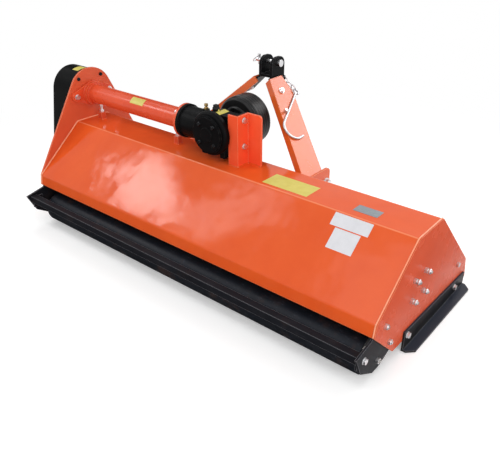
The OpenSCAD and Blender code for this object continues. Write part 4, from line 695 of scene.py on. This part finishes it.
def bare_label(name, node, above, towards, along, width, height, thickness, material):
    spot = on_surface(node, above, towards)
    bpy.ops.object.select_all(action="DESELECT")
    bpy.ops.mesh.primitive_grid_add(x_subdivisions=20, y_subdivisions=12, size=1)
    label = bpy.context.object
    bpy.ops.object.mode_set(mode="EDIT")
    bpy.ops.mesh.select_all(action="SELECT")
    bpy.ops.transform.resize(value=(width, height, 1))
    bpy.ops.object.mode_set(mode="OBJECT")
    up = -Vector(towards).normalized()
    side = Vector(along).normalized()
    turn = Matrix((side, up.cross(side), up)).transposed()
    label.matrix_world = Matrix.Translation(spot + up * label_start) @ turn.to_4x4()
    press = label.modifiers.new("pressed_on", "SHRINKWRAP")
    press.target = nodes[node]
    press.wrap_method = "PROJECT"
    press.use_project_z = True
    press.use_negative_direction = True
    press.use_positive_direction = False
    press.offset = label_gap
    film = label.modifiers.new("film", "SOLIDIFY")
    film.thickness = thickness
    film.offset = 1
    bpy.ops.object.modifier_apply(modifier="pressed_on")
    bpy.ops.object.modifier_apply(modifier="film")
    bpy.ops.object.transform_apply(location=True, rotation=True, scale=True)
    joined(name, [label], material, "deck")


def vinyl(name, tone, shade, gloss):
    made, tree, shader, coords = new_material(name)
    clouds = noise(tree, coords, scale=30.0, detail=5.0, roughness=0.6)
    clouds = spread(tree, clouds, low=0.35, high=0.7)
    wire(tree, mix_colour(tree, clouds, tone, shade), shader, "Base Color")
    wire(tree, sheen(tree, clouds, gloss, dulling=1.4), shader, "Roughness")
    grain = noise(tree, coords, scale=160.0, detail=2.0)
    bump = shader_node(tree, "Bump", {"Strength": 0.2, "Distance": 0.0003, "Height": grain})
    wire(tree, bump.outputs[0], shader, "Normal")
    return made


yellow_vinyl = vinyl("yellow_vinyl", (0.66, 0.57, 0.12, 1), (0.6, 0.51, 0.1, 1), gloss=0.36)
white_vinyl = vinyl("white_vinyl", (0.7, 0.7, 0.73, 1), (0.64, 0.64, 0.67, 1), gloss=0.34)
bare_plate = metal("bare_plate", (0.3, 0.33, 0.35, 1), (0.2, 0.22, 0.24, 1),
                   polish=0.38, grain=300.0, grain_depth=0.0003, lines=(1.0, 12.0, 1.0))
slope_down = (0, 0.6424, -0.7664)
tube_down = (0, 0.58, -0.82)
forward = (0, 1, 0)
bare_label("top_label", "hood", (0.3915, -0.037, 0.6), downward, across,
           width=0.205, height=0.094, thickness=film_thickness, material=yellow_vinyl)
bare_label("plate_label", "hood", (0.7245, -0.0405, 0.6), downward, across,
           width=0.095, height=0.049, thickness=plate_thickness, material=bare_plate)
bare_label("strip_label", "hood", (0.7105, -0.2545, 0.5773), slope_down, across,
           width=0.149, height=0.05, thickness=film_thickness, material=white_vinyl)
bare_label("tube_label", "drive_tube", (-0.469, -0.085, 0.681), tube_down, across,
           width=0.085, height=0.034, thickness=film_thickness, material=yellow_vinyl)
bare_label("guard_label", "belt_guard", (-0.9, -0.012, 0.78), downward, across,
           width=0.045, height=0.05, thickness=film_thickness, material=yellow_vinyl)
bare_label("gearbox_label", "gearbox_housing", (0.0135, 0.001, 0.78), downward, forward,
           width=0.062, height=0.032, thickness=film_thickness, material=yellow_vinyl)
bare_label("panel_label", "hood", (0.712, -0.3065, 0.5333), slope_down, across,
           width=0.1, height=0.078, thickness=film_thickness, material=white_vinyl)

# Lock nuts: the bolts of the rotor bearing stand out of the right plate, and each has a second nut.
# Zinc-plated hexagons with chamfered corners, and a rolled M12 thread that shows past them.
thread_pitch = 0.00175
thread_radius = 0.006
thread_start = Vector((-0.003, 0, 0))
thread_end = Vector((0.012, 0, 0))
nut_flat = 0.0185
nut_height = 0.008
nut_chamfer = 0.0014
nut_seat = 0.001
bolt_square = [(y, z) for y in (-0.10125, -0.01875) for z in (0.20275, 0.28525)]
beyond_plate = 1.2


def lock_nut(spot):
    bpy.ops.object.select_all(action="DESELECT")
    bpy.ops.mesh.primitive_cylinder_add(vertices=6, radius=nut_flat / math.sqrt(3), depth=nut_height)
    nut = bpy.context.object
    bpy.ops.object.mode_set(mode="EDIT")
    bpy.ops.mesh.select_all(action="SELECT")
    bpy.ops.mesh.bevel(offset=nut_chamfer, segments=2)
    bpy.ops.object.mode_set(mode="OBJECT")
    nut.rotation_euler = (0, math.pi / 2, 0)
    nut.location = spot + Vector((nut_height / 2 - nut_seat, 0, 0))
    bpy.ops.object.transform_apply(location=True, rotation=True, scale=True)
    return nut


stud_ends = [on_surface("side_bolts", (beyond_plate, y, z), (-1, 0, 0)) for y, z in bolt_square]
lock_nuts = [lock_nut(spot) for spot in stud_ends]
lock_nuts += [straight_bead(spot + thread_start, spot + thread_end, thread_radius, thread_pitch)
              for spot in stud_ends]
joined("bearing_lock_nuts", lock_nuts, zinc_plate, "deck")
